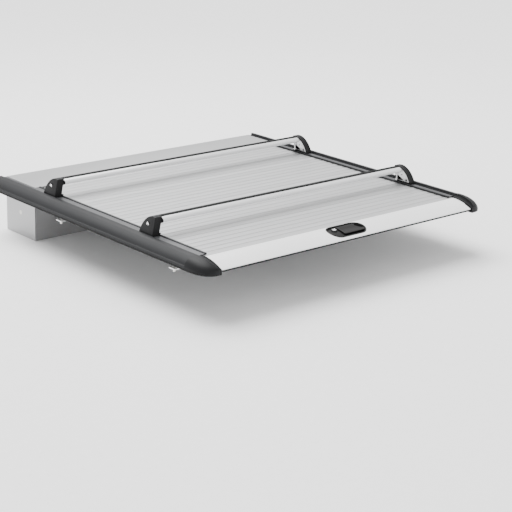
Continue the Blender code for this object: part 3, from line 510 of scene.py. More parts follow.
# ---------------------------------------------------------------- end caps
def cap_ring(t, side):
    """Section of the end cap at t: smooth dome outside, ribbed deck inside."""
    bluntness = 2.6
    tip_width = 0.010
    rib_height = 0.00035
    rib_pitch = 0.0052
    s = (CAP_T - t) / (CAP_T - CAP_TIP)
    shrink = max(0.0, 1.0 - s ** bluntness) ** (1 / bluntness)
    out = CAP_IN + tip_width + (CAP_OUT - CAP_IN - tip_width) * shrink
    drop = SLAT_TOP - lead_top(t)
    wide = out - CAP_IN
    rim = LIP_TOP - 0.0014 - drop
    ridge = RIDGE_TOP + 0.001 - 0.88 * drop - 0.006 * s ** 4
    rib = rib_height * cos(tau * (CAP_T - t) / rib_pitch)
    dome = [(CAP_IN + wide * share, ridge * high) for share, high in (
        (0.994, 0.27), (0.955, 0.43), (0.875, 0.63), (0.75, 0.81), (0.59, 0.935), (0.43, 0.995), (0.34, 1.0))]
    deck = rim - 0.0022
    foot = 0.0080 + 0.0025 * s
    points = [(CAP_IN + 0.0004, 0.0), (CAP_IN + wide * 0.5, 0.0), (out - 0.0020, 0.0),
              (out - 0.0004, 0.0006), (out, 0.0020), (out, foot - 0.0022), (out - 0.0005, foot - 0.0012),
              (out - 0.0017, foot - 0.0008), (out - 0.0017, foot), (out - 0.0008, foot + 0.0004)]
    points += spline(dome)
    points += [(CAP_IN + 0.315 * wide, ridge - 0.0012), (CAP_IN + 0.305 * wide, deck + 0.0012),
               (CAP_IN + 0.295 * wide, deck + rib), (CAP_IN + 0.20 * wide, deck + rib),
               (CAP_IN + 0.10 * wide, deck + rib), (CAP_IN + 0.055 * wide, deck + 0.0002),
               (CAP_IN + 0.050 * wide, rim - 0.0003), (CAP_IN + 0.035 * wide, rim), (CAP_IN + 0.0006, rim),
               (CAP_IN, rim - 0.0006), (CAP_IN, 0.0004)]
    return [(side * u, y_at(t), z) for u, z in points]


def build_cap(side, label):
    """Rings of the cap, close together at its tip, and the lug on its inner side for the latch rod."""
    length = CAP_T - CAP_TIP
    tip = 0.14  # share of the length that takes the closer rings
    body_steps = 108
    tip_steps = 26
    stops = [CAP_T - length * (1 - tip) * i / body_steps for i in range(body_steps)]
    for i in range(tip_steps + 1):
        stops.append(CAP_T - length * (1 - tip + tip * sin(pi / 2 * i / tip_steps)))
    rings = [cap_ring(t, side) for t in stops]
    eased = offset([(x, z) for x, _, z in rings[0]], 0.0008)
    seam = rings[0][0][1]
    rings[0] = [(x, seam - 0.0009, z) for x, _, z in rings[0]]
    rings.insert(0, [(x, seam, z) for x, z in eased])
    cap = skin(f"{label}_end_cap_skin", rings, "cap", 0.5)
    rides(cap, "frame", f"{label}_end_cap")
    lug_t = LATCH_T - side * LATCH_ARM + 0.006
    low, high = sorted((side * 0.7335, side * (CAP_IN + 0.002)))
    outline = [(lug_t + 0.0006, 0.0056), (lug_t + 0.010, 0.0056), (lug_t + 0.010, 0.0155),
               (lug_t + 0.0006, 0.0155)]
    lug = prism_x(f"{label}_latch_lug", fillet(outline, 0.0012), low, high, "cap", chamfer=0.0004)
    rides(lug, "frame", f"{label}_end_cap")


# ---------------------------------------------------------------- curtain
def tongue_points(t):
    """Tongue that stands out of a face at t, toward the cab."""
    return [(t, SLAT_MID + 0.0022), (t + TONGUE, SLAT_MID + 0.0016), (t + TONGUE, SLAT_MID - 0.0016),
            (t, SLAT_MID - 0.0022)]


def slat_outline(first, tongue):
    """One hollow slat: crowned top, rounded edges, hook toward the tailgate, tongue toward the cab."""
    crown_drop = 0.0011
    edge_drop = 0.0022
    edge_run = 0.0040
    steps = 32
    a = first + 0.0002
    b = first + SLAT_PITCH - 0.0005
    crown = []
    for i in range(steps + 1):
        s = 0.5 - 0.5 * cos(pi * i / steps)
        edge = min(s, 1 - s) * (b - a)
        round_off = edge_drop * max(0.0, 1 - edge / edge_run) ** 2
        crown.append((a + (b - a) * s, SLAT_TOP - crown_drop * (2 * s - 1) ** 2 - round_off))
    right = tongue_points(b) if tongue else []
    under = [(b, SLAT_LOW + 0.0010), (b - 0.0010, SLAT_LOW), (b - 0.006, SLAT_LOW),
             (b - 0.007, SLAT_LOW + 0.0006), (a + 0.007, SLAT_LOW + 0.0006), (a + 0.006, SLAT_LOW)]
    hook = [(a, SLAT_LOW), (a, SLAT_MID - 0.0026), (a + 0.0056, SLAT_MID - 0.0022),
            (a + 0.0056, SLAT_MID + 0.0022), (a, SLAT_MID + 0.0026)]
    return crown + right + under + hook


def build_slats():
    """The slats behind the lead slat, each a piece of its own; three share one CAD node."""
    for i in range(SLAT_COUNT):
        first = LEAD_DEPTH + GAP + i * SLAT_PITCH
        outline = slat_outline(first, i < SLAT_COUNT - 1)
        near, far = first + 0.0082, first + 0.0370
        floor, roof = SLAT_LOW + 0.0020, SLAT_TOP - 0.0024
        chamber = fillet([(near, floor), (far, floor), (far, roof), (near, roof)], 0.0008)
        slat = prism_x(f"slat_{i + 1:02d}", outline, -SLAT_HALF, SLAT_HALF, "slat", holes=[chamber],
                       smooth=0.9)
        group = 3 * (i // 3) + 1
        rides(slat, "frame", f"slats_{group:02d}_to_{group + 2:02d}")
        roll_up(slat)


def roll_up(piece):
    """Gives the piece a mesh of its own; it does not move the curtain, which gathers under the lid, into the
    canister, as the cover opens.
    """
    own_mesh(piece)


def lead_outline(steps=44):
    """Curved skin with an eased tailgate edge, and a box with a tongue where it meets the slats."""
    top = [(LEAD_DEPTH * i / steps, lead_top(LEAD_DEPTH * i / steps)) for i in range(steps + 1)]
    top[0] = (0.0006, lead_top(0.0) - 0.0004)
    top = [(0.0, lead_top(0.0) - 0.0012)] + top
    top[-1] = (LEAD_DEPTH, SLAT_TOP - 0.0006)
    box_t = LEAD_DEPTH - 0.0040
    front = tongue_points(LEAD_DEPTH)
    front += [(LEAD_DEPTH, SLAT_LOW + 0.0006), (LEAD_DEPTH - 0.0006, SLAT_LOW), (box_t, SLAT_LOW)]
    under = []
    for i in range(steps):
        t = (box_t - 0.0004) * (1 - i / steps)
        under.append((t, lead_top(t) - LEAD_SKIN))
    edge = lead_top(0.0) - LEAD_SKIN
    return top + front + under + [(0.0008, edge), (0.0, edge + 0.0006)]


def build_lead():
    """Lead slat with the handle's opening and a notch beside each end cap, and its tailgate seal."""
    lead = prism_x("lead_slat_skin", lead_outline(), -SLAT_HALF, SLAT_HALF, "lead", chamfer=0.0007,
                   smooth=0.5)
    tools = []
    for side in (-1, 1):
        notch = sorted((side * 0.735, side * (SLAT_HALF + 0.01)))
        tools.append(block(notch, (-0.01, 0.0385), (0.0, 0.0400)))
    tools.append(prism_z("well", stadium(HANDLE_HALF - 0.003, HANDLE_R - 0.003, HANDLE_T), 0.0, 0.06))
    cut(lead, tools)
    rides(lead, "lead", "lead_slat")
    edge = lead_top(0.0) - LEAD_SKIN - GAP
    seal = [(0.0005, edge), (0.0005, 0.0112), (0.0010, 0.0104), (0.0005, 0.0096), (0.0012, 0.0084),
            (0.0030, 0.0080), (0.0060, 0.0080), (0.0076, 0.0088), (0.0080, 0.0104), (0.0070, 0.0116),
            (0.0080, 0.0130), (0.0080, edge)]
    strip = prism_x("tailgate_seal_skin", fillet(seal, 0.0006), -0.729, 0.729, "rubber", chamfer=0.0004)
    rides(strip, "lead", "tailgate_seal")


# ---------------------------------------------------------------- handle
def dish_ring(depth, height, follow):
    """Ring of the handle's plan, depth inside its rim, at a height over the slat or over z = 0."""
    ring = []
    for x, t in stadium(HANDLE_HALF - depth, HANDLE_R - depth, HANDLE_T):
        ring.append((x, y_at(t), height + (lead_top(t) if follow else 0.0)))
    return ring


def build_handle():
    """Housing with a rolled rim and a sunk floor, its lock with shelf and collar, lever web and pin."""
    bowl = [dish_ring(depth, height, follow) for depth, height, follow in (
        (0.0065, 0.0180, False), (0.0042, 0.0182, False), (0.0036, 0.0190, False), (0.0035, 0.0003, True),
        (0.0002, 0.0003, True), (0.0, 0.0006, True), (0.0001, 0.0011, True), (0.0007, 0.0016, True),
        (0.0016, 0.0019, True), (0.0030, 0.0020, True), (0.0044, 0.0017, True), (0.0054, 0.0010, True),
        (0.0060, 0.0, True), (HANDLE_WALL, -0.0016, True), (HANDLE_WALL, 0.0226, False),
        (0.0068, 0.0214, False), (0.0080, FLOOR_IN + 0.0002, False), (0.0100, FLOOR_IN, False))]
    rides(skin("handle_bowl", bowl, "plastic", 0.7), "lead", "handle_housing")
    build_lock_seat()
    web = fillet([(0.0835, 0.0195), (0.0990, 0.0195), (0.0990, 0.0415), (0.0905, 0.0425),
                  (0.0835, 0.0360)], 0.0015)
    rides(prism_x("lever_web", web, -0.0355, -0.0310, "plastic", chamfer=0.0004),
          "lead", "handle_housing")
    build_lock_cylinder()
    radius = 0.0020
    ends = (-0.0350, 0.0835)
    pin = [(0.0, ends[0]), (radius - 0.0003, ends[0]), (radius, ends[0] + 0.0003),
           (radius, ends[1] - 0.0003), (radius - 0.0003, ends[1]), (0.0, ends[1])]
    rides(lathe("lever_pin_skin", pin, (0, y_at(LEVER_T), LEVER_Z), (1, 0, 0), "steel", 20),
          "lead", "lever_pin")
    build_lever()


def build_lock_seat():
    """Shelf across the left end of the bowl, and the raised collar round the lock."""
    seat = 0.0222
    face = LOCK_TOP - 0.0025
    collar = [(0.0, FLOOR_IN - 0.001), (0.0148, FLOOR_IN - 0.001), (0.0148, face - 0.0022),
              (0.0142, face - 0.0006), (0.0128, face), (0.0112, face - 0.0004), (0.0104, face - 0.0016),
              (0.0103, seat), (0.0, seat)]
    place = (LOCK_X, y_at(LOCK_T), 0.0)
    rides(lathe("lock_boss", collar, place, (0, 0, 1), "plastic"), "lead", "handle_housing")
    reach = HANDLE_R - HANDLE_WALL
    steps = 30
    ledge = []
    for i in range(steps + 1):
        t = HANDLE_T + reach * (2 * i / steps - 1)
        ledge.append((t, lead_top(t) - 0.0055))
    ledge += [(HANDLE_T + reach, FLOOR_IN - 0.0010), (HANDLE_T - reach, FLOOR_IN - 0.0010)]
    shelf = prism_x("lock_shelf", ledge, -HANDLE_HALF, -0.0362)
    plan = stadium(HANDLE_HALF - HANDLE_WALL, reach, HANDLE_T)
    cut(shelf, [prism_z("seat", plan, 0.0, 0.09)], "INTERSECT")
    bevelled(shelf, 0.0012)
    shelf.data.materials.clear()
    shelf.data.materials.append(MATS["plastic"])
    cut(shelf, [prism_z("bore", circle(LOCK_X, LOCK_T, 0.0104), 0.0, 0.09)])
    rides(shelf, "lead", "handle_housing")


def build_lock_cylinder():
    """Bright barrel with a rim and a key slot."""
    barrel = [(0.0, 0.0225), (0.0100, 0.0225), (0.0100, LOCK_TOP - 0.0009), (0.0097, LOCK_TOP - 0.0003),
              (0.0090, LOCK_TOP), (0.0070, LOCK_TOP), (0.0066, LOCK_TOP - 0.0003), (0.0, LOCK_TOP - 0.0003)]
    key = lathe("key_cylinder", barrel, (LOCK_X, y_at(LOCK_T), 0.0), (0, 0, 1), "key")
    slot_x = (LOCK_X - 0.0007, LOCK_X + 0.0007)
    slot_t = (LOCK_T - 0.0042, LOCK_T + 0.0042)
    cut(key, [block(slot_x, slot_t, (0.0385, 0.05))])
    rides(key, "lock", "lock_cylinder")


def build_lever():
    """Paddle with a dished face, round free end and a round back edge about its pin."""
    tail = 0.0345  # tailgate edge of the paddle
    radius = 0.0393  # of its round end, about centre
    centre = HANDLE_HALF - HANDLE_R
    left = -0.0300
    sunk = 0.0012  # below the lead slat's surface
    dish = 0.0032
    raised = 0.0028  # how much less deep the dish is at its sides
    rim = 0.014  # width over which it gets so
    steps = 36
    upper = []
    lower = []
    for i in range(steps):
        s = i / steps
        t = tail + (LEVER_T - tail) * s
        face = lead_top(t) - sunk
        upper.append((t, face - dish * sin(pi * s) ** 1.5))
        thick = 0.0044 + 0.0028 * min(1.0, max(0.0, (s - 0.12) / 0.1))
        lower.append((t, face - thick))
    hub = []
    for i in range(25):
        angle = pi * (0.5 - i / 24)
        hub.append((LEVER_T + LEVER_HUB * cos(angle), LEVER_Z + LEVER_HUB * sin(angle)))
    loop = upper + hub + lower[::-1]
    columns = 34
    rows = []
    for k in range(columns + 1):
        share = 1 - (1 - k / columns) ** 1.6
        row = []
        for t, z in loop:
            out = t - HANDLE_T
            half = radius if out < 0 else radius - 0.0030
            reach = centre + radius * sqrt(max(0.0, 1 - (out / half) ** 2))
            x = left + (reach - left) * share
            across = min(x - left, reach - x)
            lift = 0.0
            if z >= lead_top(t) - 0.0050 and t < LEVER_T:
                hollow = sin(pi * (t - tail) / (LEVER_T - tail)) ** 1.5
                lift = raised * (1 - min(1.0, across / rim)) ** 2 * hollow
            row.append((x, y_at(t), z + lift))
        rows.append(row)
    lever = skin("lever_paddle", rows, "plastic")
    bevelled(lever, 0.0007, 3, 0.9)
    rides(lever, "lever", "handle_lever")


def build_latch():
    """Rocker on its pivot with two pins, each in the cross slot of a rod that reaches an end cap."""
    plate = [(0.0, 0.0153), (0.0200, 0.0153), (0.0205, 0.0157), (0.0205, 0.0169), (0.0200, 0.0173),
             (0.0034, 0.0173), (0.0030, 0.0177), (0.0030, 0.0200), (0.0, 0.0200)]
    rides(lathe("rocker_plate", plate, (0, y_at(LATCH_T), 0), (0, 0, 1), "steel"), "rocker", "latch_rocker")
    pin = [(0.0, 0.0085), (0.0014, 0.0085), (0.0018, 0.0089), (0.0018, 0.0154), (0.0, 0.0154)]
    for way, label in ((-1, "rear"), (1, "front")):
        place = (0, y_at(LATCH_T + way * LATCH_ARM), 0)
        rides(lathe(f"rocker_pin_{label}", pin, place, (0, 0, 1), "steel", 18), "rocker", "latch_rocker")
    for side, label in ((-1, "left"), (1, "right")):
        t = LATCH_T - side * LATCH_ARM
        low, high = sorted((-side * 0.0080, side * 0.740))
        outline = [(t - 0.006, 0.0065), (t + 0.006, 0.0065), (t + 0.006, 0.0150), (t - 0.006, 0.0150)]
        rod = prism_x(f"{label}_rod_skin", fillet(outline, 0.0010, 3), low, high, "steel", chamfer=0.0006)
        cut(rod, [block((-0.0026, 0.0026), (t - 0.0045, t + 0.0045), (0.0, 0.03))])
        rides(rod, f"rod_{label}", f"{label}_latch_rod")


# ---------------------------------------------------------------- canister
def build_canister():
    """Lid over the canister, its rubber wiper, which also darkens the gap under the lid's edge as painted
    shade, and its four screws.
    """
    outline = [(LID_T, 0.0468), (LID_T + 0.0032, 0.0468), (LID_T + 0.0042, 0.0480), (LENGTH, 0.0480),
               (LENGTH, 0.0512), (LID_T, 0.0512)]
    lid = prism_x("lid_skin", fillet(outline, 0.0019, 8), -LID_HALF, LID_HALF, "lid", chamfer=0.0006)
    rides(lid, "frame", "canister_lid")
    # Black rubber wiper under the lid's edge: partly a real wiper, partly painted shade that darkens the gap
    # between the lid and the slats.
    wiper = fillet([(LID_T + 0.0012, 0.0453), (LID_T + 0.0090, 0.0453), (LID_T + 0.0090, 0.0468),
                    (LID_T + 0.0012, 0.0468)], 0.0004)
    rides(prism_x("lid_wiper_and_gap_shade", wiper, -0.7120, 0.7120, "rubber"), "frame", "canister_lid")
    head = [(0.0, 0.0496), (0.0046, 0.0496), (0.0046, 0.0511), (0.0040, 0.05118), (0.0026, 0.05118),
            (0.0022, 0.0502), (0.0, 0.0502)]
    for side, label in ((-1, "left"), (1, "right")):
        for t, row in ((1.366, "rear"), (1.455, "front")):
            place = (side * 0.731, y_at(t), 0)
            screw = lathe(f"lid_screw_{label}_{row}", head, place, (0, 0, 1), "plastic", 24)
            rides(screw, "frame", "canister_lid")


# ---------------------------------------------------------------- crossbars
def bar_outline(bar_t):
    """Closed aerofoil with two fine grooves on each flank and a notch for the strip."""
    groove_depth = 0.0016
    groove_half = 0.0012
    flank = 0.016  # the grooves lie outside this distance from the bar's middle
    count = 120
    points = []
    for i in range(count):
        angle = tau * (i + 0.5) / count
        d = BAR_CHORD * cos(angle)
        high = sin(angle)
        if high > 0 and abs(d) < STRIP_HALF + 0.0006:
            continue
        z = BAR_MID_Z + (BAR_UP if high > 0 else BAR_DOWN) * high
        cut_in = 0.0
        for mark in (0.0020, -0.0030):
            away = abs(z - BAR_MID_Z - mark)
            if abs(d) > flank:
                cut_in = max(cut_in, groove_depth * max(0.0, 1 - (away / groove_half) ** 2))
        points.append((bar_t + d * (1 - cut_in / BAR_CHORD), z))
    edge = BAR_MID_Z + BAR_UP * sqrt(1 - (STRIP_HALF / BAR_CHORD) ** 2)
    notch = [(bar_t + STRIP_HALF + 0.0002, edge - 0.0003), (bar_t + STRIP_HALF, edge - 0.0009),
             (bar_t + STRIP_HALF, STRIP_SEAT), (bar_t - STRIP_HALF, STRIP_SEAT),
             (bar_t - STRIP_HALF, edge - 0.0009), (bar_t - STRIP_HALF - 0.0002, edge - 0.0003)]
    split = next(i for i, p in enumerate(points) if p[0] < bar_t and p[1] > BAR_MID_Z)
    return points[:split] + notch + points[split:]


def strip_outline(bar_t):
    """Rubber strip with fine ribs along its top."""
    half = STRIP_HALF - GAP
    rib_pitch = 0.0019
    points = [(bar_t - half, STRIP_SEAT + GAP), (bar_t + half, STRIP_SEAT + GAP),
              (bar_t + half, STRIP_TOP - 0.0022), (bar_t + half - 0.0008, STRIP_TOP - 0.0006),
              (bar_t + half - 0.0019, STRIP_TOP)]
    for i in range(7):
        t = bar_t + half - 0.0026 - i * rib_pitch
        points += [(t, STRIP_TOP), (t - 0.0004, STRIP_TOP - 0.0005), (t - 0.0008, STRIP_TOP)]
    points += [(bar_t - half + 0.0019, STRIP_TOP), (bar_t - half + 0.0008, STRIP_TOP - 0.0006),
               (bar_t - half, STRIP_TOP - 0.0022)]
    return points


def foot_line(steps=40):
    """Side view of a foot, along the bed and up: straight back, flat top, long curved nose."""
    points = [(FOOT_BACK, FOOT_LOW), (FOOT_BACK, FOOT_HIGH - 0.006), (FOOT_BACK - 0.0012, FOOT_HIGH - 0.0028),
              (FOOT_BACK - 0.004, FOOT_HIGH - 0.001)]
    ends = ((0.004, FOOT_HIGH), (-0.026, FOOT_HIGH), (-0.060, FOOT_LOW + 0.052), (FOOT_NOSE, FOOT_LOW))
    for i in range(steps + 1):
        s = i / steps
        shares = ((1 - s) ** 3, 3 * s * (1 - s) ** 2, 3 * s * s * (1 - s), s ** 3)
        points.append(tuple(sum(k * end[n] for k, end in zip(shares, ends)) for n in (0, 1)))
    return points


def leaned(u, z):
    """The foot stands slightly inward toward its top."""
    return u - FOOT_LEAN * max(0.0, z - FOOT_LOW) / (FOOT_HIGH - FOOT_LOW)


def foot_cover(name, bar_t):
    """Shell of the foot: outer face, a band with fine ridges round it, open toward the bar."""
    wall = 0.0042
    ridge_height = 0.00045
    ridge_pitch = 0.0040
    spacing = 0.0010
    line = foot_line()
    inner = offset(line, wall)
    inner[0] = (inner[0][0], FOOT_LOW)
    inner[-1] = (inner[-1][0] + 0.004, FOOT_LOW)
    dense = []
    for i in range(len(line) - 1):
        a = Vector(line[i])
        b = Vector(line[i + 1])
        n = max(1, int((b - a).length / spacing))
        for k in range(n):
            dense.append((tuple(a.lerp(b, k / n)), i, k / n))
    dense.append((line[-1], len(line) - 2, 1.0))
    sections = []
    run = 0.0
    last = None
    for (d, z), i, share in dense:
        point = Vector((d, z))
        run += (point - last).length if last else 0.0
        last = point
        core = Vector(inner[i]).lerp(Vector(inner[i + 1]), share)
        inward = (core - point).normalized()
        ridge = 0.0
        if z > FOOT_LOW + 0.004:
            ridge = ridge_height * (0.5 + 0.5 * cos(tau * run / ridge_pitch))
        band = []
        for u, depth in ((FOOT_IN + 0.0002, 0.0012), (FOOT_IN + 0.0008, 0.0003), (FOOT_IN + 0.0016, 0.0),
                         (FOOT_IN + 0.0030, 0.0), (FOOT_IN + 0.0036, ridge), (FOOT_OUT - 0.0070, ridge),
                         (FOOT_OUT - 0.0064, 0.0), (FOOT_OUT - 0.0030, 0.0), (FOOT_OUT - 0.0012, 0.0005),
                         (FOOT_OUT - 0.0003, 0.0016), (FOOT_OUT, 0.0034)):
            p = point + inward * depth
            level = max(p.y, FOOT_LOW)
            band.append((leaned(u, level), bar_t + p.x, level))
        for u in (FOOT_OUT - 0.004, FOOT_IN + 0.0002):
            band.append((leaned(u, core.y), bar_t + core.x, core.y))
        sections.append(band)
    bm = bmesh.new()
    rows = [[bm.verts.new((x, y_at(t), z)) for x, t, z in band] for band in sections]
    size = len(rows[0])
    rim = size - 3  # column round the outer wall's face; the next one goes round its inside
    for low, high in zip(rows, rows[1:]):
        for i in range(size):
            if i == rim:
                continue
            j = (i + 1) % size
            bm.faces.new([low[i], low[j], high[j], high[i]])
    for column in (rim, rim + 1):
        bm.faces.new([row[column] for row in rows])
    for row in (rows[0], rows[-1]):
        bm.faces.new(row)
    return make_object(name, bm, "foot")


def bar_collar(name, bar_t):
    """Half collar round the bar's end on the foot's straight side."""
    line = [(bar_t - 0.002, BAR_MID_Z + BAR_UP + COLLAR), (bar_t - 0.002, BAR_MID_Z - BAR_DOWN - COLLAR)]
    for i in range(33):
        angle = pi * (i / 32 - 0.5)
        high = BAR_UP if angle > 0 else BAR_DOWN
        line.append((bar_t + (BAR_CHORD + COLLAR) * cos(angle), BAR_MID_Z + (high + COLLAR) * sin(angle)))
    collar = prism_x(f"{name}_collar", line, BAR_HALF + 0.0004, 0.7112, "foot", chamfer=0.0006)
    spigot_t = (bar_t - 0.01, bar_t + 0.018)
    spigot_z = (BAR_MID_Z - 0.0067, BAR_MID_Z + 0.0065)
    return cut(collar, [block((0.69, 0.72), spigot_t, spigot_z)])


def foot_pieces(bar_t, name):
    """Right-hand foot without its lock: pieces, each with the kind of CAD node it stands for."""
    pieces = [(foot_cover(f"{name}_cover_skin", bar_t), "cover"), (bar_collar(name, bar_t), "cover")]
    line = offset(foot_line(), 0.0048)
    windows = [[(0.0120, 0.0612), (0.0120, 0.0880), (-0.0060, 0.0770), (-0.0240, 0.0680), (-0.0240, 0.0612)],
               [(-0.0520, 0.0612), (-0.0500, 0.0740), (-0.0380, 0.0680), (-0.0380, 0.0612)]]
    holes = [fillet([(bar_t + d, z) for d, z in window], 0.003) for window in windows]
    holes.append(circle(bar_t - 0.0200, 0.0900, 0.0042, 20))
    outline = [(bar_t + d, z) for d, z in line]
    plate = prism_x(f"{name}_plate", outline, FOOT_IN + 0.0015, FOOT_IN + 0.0055, "bare", holes=holes)
    rim_in = offset(foot_line(), 0.0088)
    rim_in[0] = (rim_in[0][0], line[0][1])
    rim_in[-1] = (rim_in[-1][0], line[-1][1])
    outline = [(bar_t + d, z) for d, z in line + rim_in[::-1]]
    rim = prism_x(f"{name}_rim", outline, FOOT_IN + 0.0004, FOOT_IN + 0.0020, "bare")
    for obj in (plate, rim):
        for vert in obj.data.vertices:
            vert.co.x = leaned(vert.co.x, vert.co.z)
        pieces.append((obj, "bracket"))
    nose = bar_t + FOOT_NOSE
    back = bar_t + FOOT_BACK

    def slab(label, x, t, z, radius=0.0008, finish="bare"):
        outline = fillet([(t[0], z[0]), (t[1], z[0]), (t[1], z[1]), (t[0], z[1])], radius, 3)
        piece = prism_x(f"{name}_{label}", outline, x[0], x[1], finish, chamfer=min(radius, 0.0005))
        pieces.append((piece, "bracket"))

    slab("base", (FOOT_IN + 0.0005, RIDGE_IN - 0.0020), (nose + 0.0006, back),
         (DECK + GAP, FOOT_LOW - GAP), finish="foot")
    slab("heel", (FOOT_IN + 0.0012, FOOT_IN + 0.0180), (nose + 0.012, back - 0.006),
         (FOOT_LOW - 0.001, FOOT_LOW + 0.0060), finish="foot")
    slab("toe", (0.7105, FOOT_IN + 0.0020), (bar_t, bar_t + 0.0180),
         (FOOT_LOW + 0.0002, FOOT_LOW + 0.0040), finish="foot")
    stud = [(0.0, FOOT_LOW + 0.0035), (0.0050, FOOT_LOW + 0.0035), (0.0050, 0.0640), (0.0036, 0.0645),
            (0.0036, 0.0880), (0.0056, 0.0885), (0.0056, 0.0965), (0.0, 0.0970)]
    place = (0.7165, y_at(bar_t + 0.0090), 0.0)
    pieces.append((lathe(f"{name}_stud", stud, place, (0, 0, 1), "key", 24), "bracket"))
    slab("neck", (0.7540, 0.7640), (nose + 0.014, back - 0.010), (0.0410, DECK + 0.001))
    slab("t_head", (0.7502, 0.7678), (nose + 0.012, back - 0.008), (0.0362, 0.0445))
    slab("spigot", (BAR_HALF - 0.040, FOOT_IN - 0.004), (bar_t - 0.0175, bar_t + 0.0175),
         (BAR_MID_Z - 0.0062, BAR_MID_Z + 0.0060), 0.003)
    return pieces


def foot_lock(bar_t, name):
    """Round lock bolt with a slotted head, and the ring round it on the foot's outer face."""
    face = leaned(FOOT_OUT, BOLT_Z)
    bolt_t = bar_t - BOLT_BEHIND
    shank = [(0.0, -0.033), (0.0042, -0.033), (0.0042, -0.0055), (0.0080, -0.0055), (0.0082, -0.0008),
             (0.0078, 0.0002), (0.0068, 0.0010), (0.0058, 0.0011), (0.0050, 0.0004), (0.0, 0.0002)]
    ring = [(0.0086, -0.0040), (0.0112, -0.0040), (0.0112, 0.0004), (0.0106, 0.0009), (0.0094, 0.0009),
            (0.0086, 0.0003), (0.0086, -0.0040)]
    place = (face + 0.0001, y_at(bolt_t), BOLT_Z)
    lock = lathe(f"{name}_lock_skin", shank, place, (1, 0, 0), "key", 36)
    slot_t = (bolt_t - 0.0034, bolt_t + 0.0034)
    slot_z = (BOLT_Z - 0.0006, BOLT_Z + 0.0006)
    cut(lock, [block((face - 0.003, face + 0.003), slot_t, slot_z)])
    collar = lathe(f"{name}_lock_ring", ring, place, (1, 0, 0), "plastic", 36)
    return [(lock, "lock"), (collar, "cover")]


def build_foot(bar_t, label, side, turn):
    name = f"{label}_bar_{side}"
    for piece, kind in foot_pieces(bar_t, name) + foot_lock(bar_t, name):
        if turn:
            piece.data.transform(turn)
            piece.data.update()
        rides(piece, f"bar_{label}", f"{name}_{kind}")


def build_crossbar(bar_t, label):
    """Hollow bar with its strip and two feet; the left foot is the right one after a half turn."""
    count = 40
    inner = []
    for i in range(count):
        angle = tau * (i + 0.5) / count
        high = BAR_UP - 0.0062 if sin(angle) > 0 else BAR_DOWN - 0.0030
        inner.append((bar_t + (BAR_CHORD - 0.0040) * cos(angle), BAR_MID_Z + high * sin(angle)))
    bar = prism_x(f"{label}_bar_skin", bar_outline(bar_t), -BAR_HALF, BAR_HALF, "bar", holes=[inner],
                  smooth=0.5)
    rides(bar, f"bar_{label}", f"{label}_bar")
    strip = prism_x(f"{label}_strip_skin", strip_outline(bar_t), -BAR_HALF + 0.001, BAR_HALF - 0.001,
                    "rubber", smooth=0.5)
    rides(strip, f"bar_{label}", f"{label}_bar_strip")
    middle = Vector((0.0, y_at(bar_t), 0.0))
    turn = Matrix.Translation(middle) @ Matrix.Rotation(pi, 4, "Z") @ Matrix.Translation(-middle)
    build_foot(bar_t, label, "right", None)
    build_foot(bar_t, label, "left", turn)


# ---------------------------------------------------------------- clamps
def build_clamps():
    """Angles that hang under the rails, each with a screw that presses its foot on the bed's flange."""
    angle = fillet([(0.7108, -0.058), (0.7500, -0.058), (0.7500, -0.052), (0.7156, -0.052),
                    (0.7156, -0.0010), (0.7108, -0.0010)], 0.0012)
    body = [(0.0, -0.018), (0.0084, -0.018), (0.0090, -0.0186), (0.0090, -0.0212), (0.0084, -0.022),
            (0.0040, -0.022), (0.0040, -0.0585), (0.0070, -0.0585), (0.0070, -0.0694), (0.0064, -0.0700),
            (0.0034, -0.0700), (0.0030, -0.0650), (0.0, -0.0650)]
    half_width = 0.020
    for row, t in (("rear", 0.30), ("front", 1.12)):
        for side, label in ((-1, "left"), (1, "right")):
            name = f"{row}_{label}"
            x = side * CLAMP_X
            clamp = prism_y(f"{name}_clamp_skin", angle, t - half_width, t + half_width, side, "bare",
                            chamfer=0.0006)
            cut(clamp, [prism_z("drill", circle(x, t, 0.0044, 24), -0.07, -0.04)])
            rides(clamp, "frame", f"{name}_clamp")
            screw = lathe(f"{name}_screw_skin", body, (x, y_at(t), 0.0), (0, 0, 1), "steel", 24)
            rides(screw, "frame", f"{name}_clamp_screw")


# ---------------------------------------------------------------- carried-over nodes
def finish_frame():
    """Finishes for the CAD nodes that stay as they are."""
    finishes = {
        "canister_housing": "sheet", "canister_left_plate": "sheet", "canister_right_plate": "sheet",
        "drum_shaft": "steel", "drum_spring": "steel", "drum_tube": "bare", "drum_left_bearing": "cap",
        "drum_right_bearing": "cap", "wound_curtain": "slat", "slats_going_down": "slat",
    }
    for node, finish in finishes.items():
        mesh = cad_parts[node].data
        mesh.materials.clear()
        mesh.materials.append(MATS[finish])


# ---------------------------------------------------------------- stage, light and camera
def area_light(name, place, aim, size, power):
    data = bpy.data.lights.new(name, "AREA")
    data.shape = "RECTANGLE"
    data.size = size[0]
    data.size_y = size[1]
    data.energy = power
    light = bpy.data.objects.new(name, data)
    light.location = place
    light.rotation_euler = (Vector(aim) - Vector(place)).to_track_quat("-Z", "Y").to_euler()
    bpy.context.scene.collection.objects.link(light)


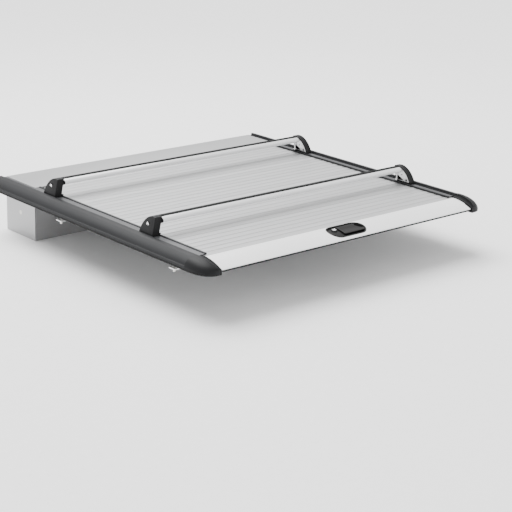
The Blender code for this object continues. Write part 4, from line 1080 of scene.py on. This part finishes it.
def build_stage():
    """Pale floor just under the cover, white surroundings, a broad sun and a panel over the cab end."""
    low = CAD_BOX[0].z - 0.001
    bm = bmesh.new()
    bmesh.ops.create_grid(bm, x_segments=4, y_segments=4, size=40.0, matrix=Matrix.Translation((0, 0, low)))
    floor = make_object("floor", bm)
    paint = surface("floor_paint", even(0.92), 0.0, 0.75, even(30), 0.01, 0.03,
                    0.02, 0.0002, even(0.6), 0.006)
    floor.data.materials.append(paint)
    world = bpy.data.worlds.new("studio")
    world.use_nodes = True
    back = world.node_tree.nodes["Background"]
    back.inputs["Color"].default_value = (1.0, 1.0, 1.0, 1.0)
    back.inputs["Strength"].default_value = 1.15
    bpy.context.scene.world = world
    sun = bpy.data.lights.new("soft_sun", "SUN")
    sun.energy = 4.6
    sun.angle = radians(50)
    light = bpy.data.objects.new("soft_sun", sun)
    light.rotation_euler = (radians(-22), radians(-8), 0.0)
    bpy.context.scene.collection.objects.link(light)
    area_light("sky_panel", (0.3, 1.9, 3.6), (0.0, -0.9, 0.0), (4.5, 3.0), 160.0)


def build_camera():
    """Long lens beyond the tailgate's left corner, turned right, tilted down and slightly rolled."""
    place = (-4.200, -5.662, 1.839)
    yaw = radians(41.62)
    pitch = radians(18.15)
    roll = radians(1.85)
    forward = Vector((sin(yaw) * cos(pitch), cos(yaw) * cos(pitch), -sin(pitch)))
    level = Vector((cos(yaw), -sin(yaw), 0.0))
    rise = level.cross(forward)
    right = level * cos(roll) + rise * sin(roll)
    up = rise * cos(roll) - level * sin(roll)
    data = bpy.data.cameras.new("camera")
    data.sensor_width = 36.0
    data.lens = 101.9
    data.clip_end = 200.0
    camera = bpy.data.objects.new("camera", data)
    bpy.context.scene.collection.objects.link(camera)
    spin = Matrix((right, up, -forward)).transposed().to_4x4()
    camera.matrix_world = Matrix.Translation(place) @ spin
    bpy.context.scene.camera = camera


build_stage()
build_camera()
for hand, text in ((-1, "left"), (1, "right")):
    build_rail(hand, text)
    build_cap(hand, text)
build_slats()
build_lead()
build_handle()
build_latch()
build_canister()
build_crossbar(REAR_BAR_T, "rear")
build_crossbar(FRONT_BAR_T, "front")
build_clamps()
finish_frame()
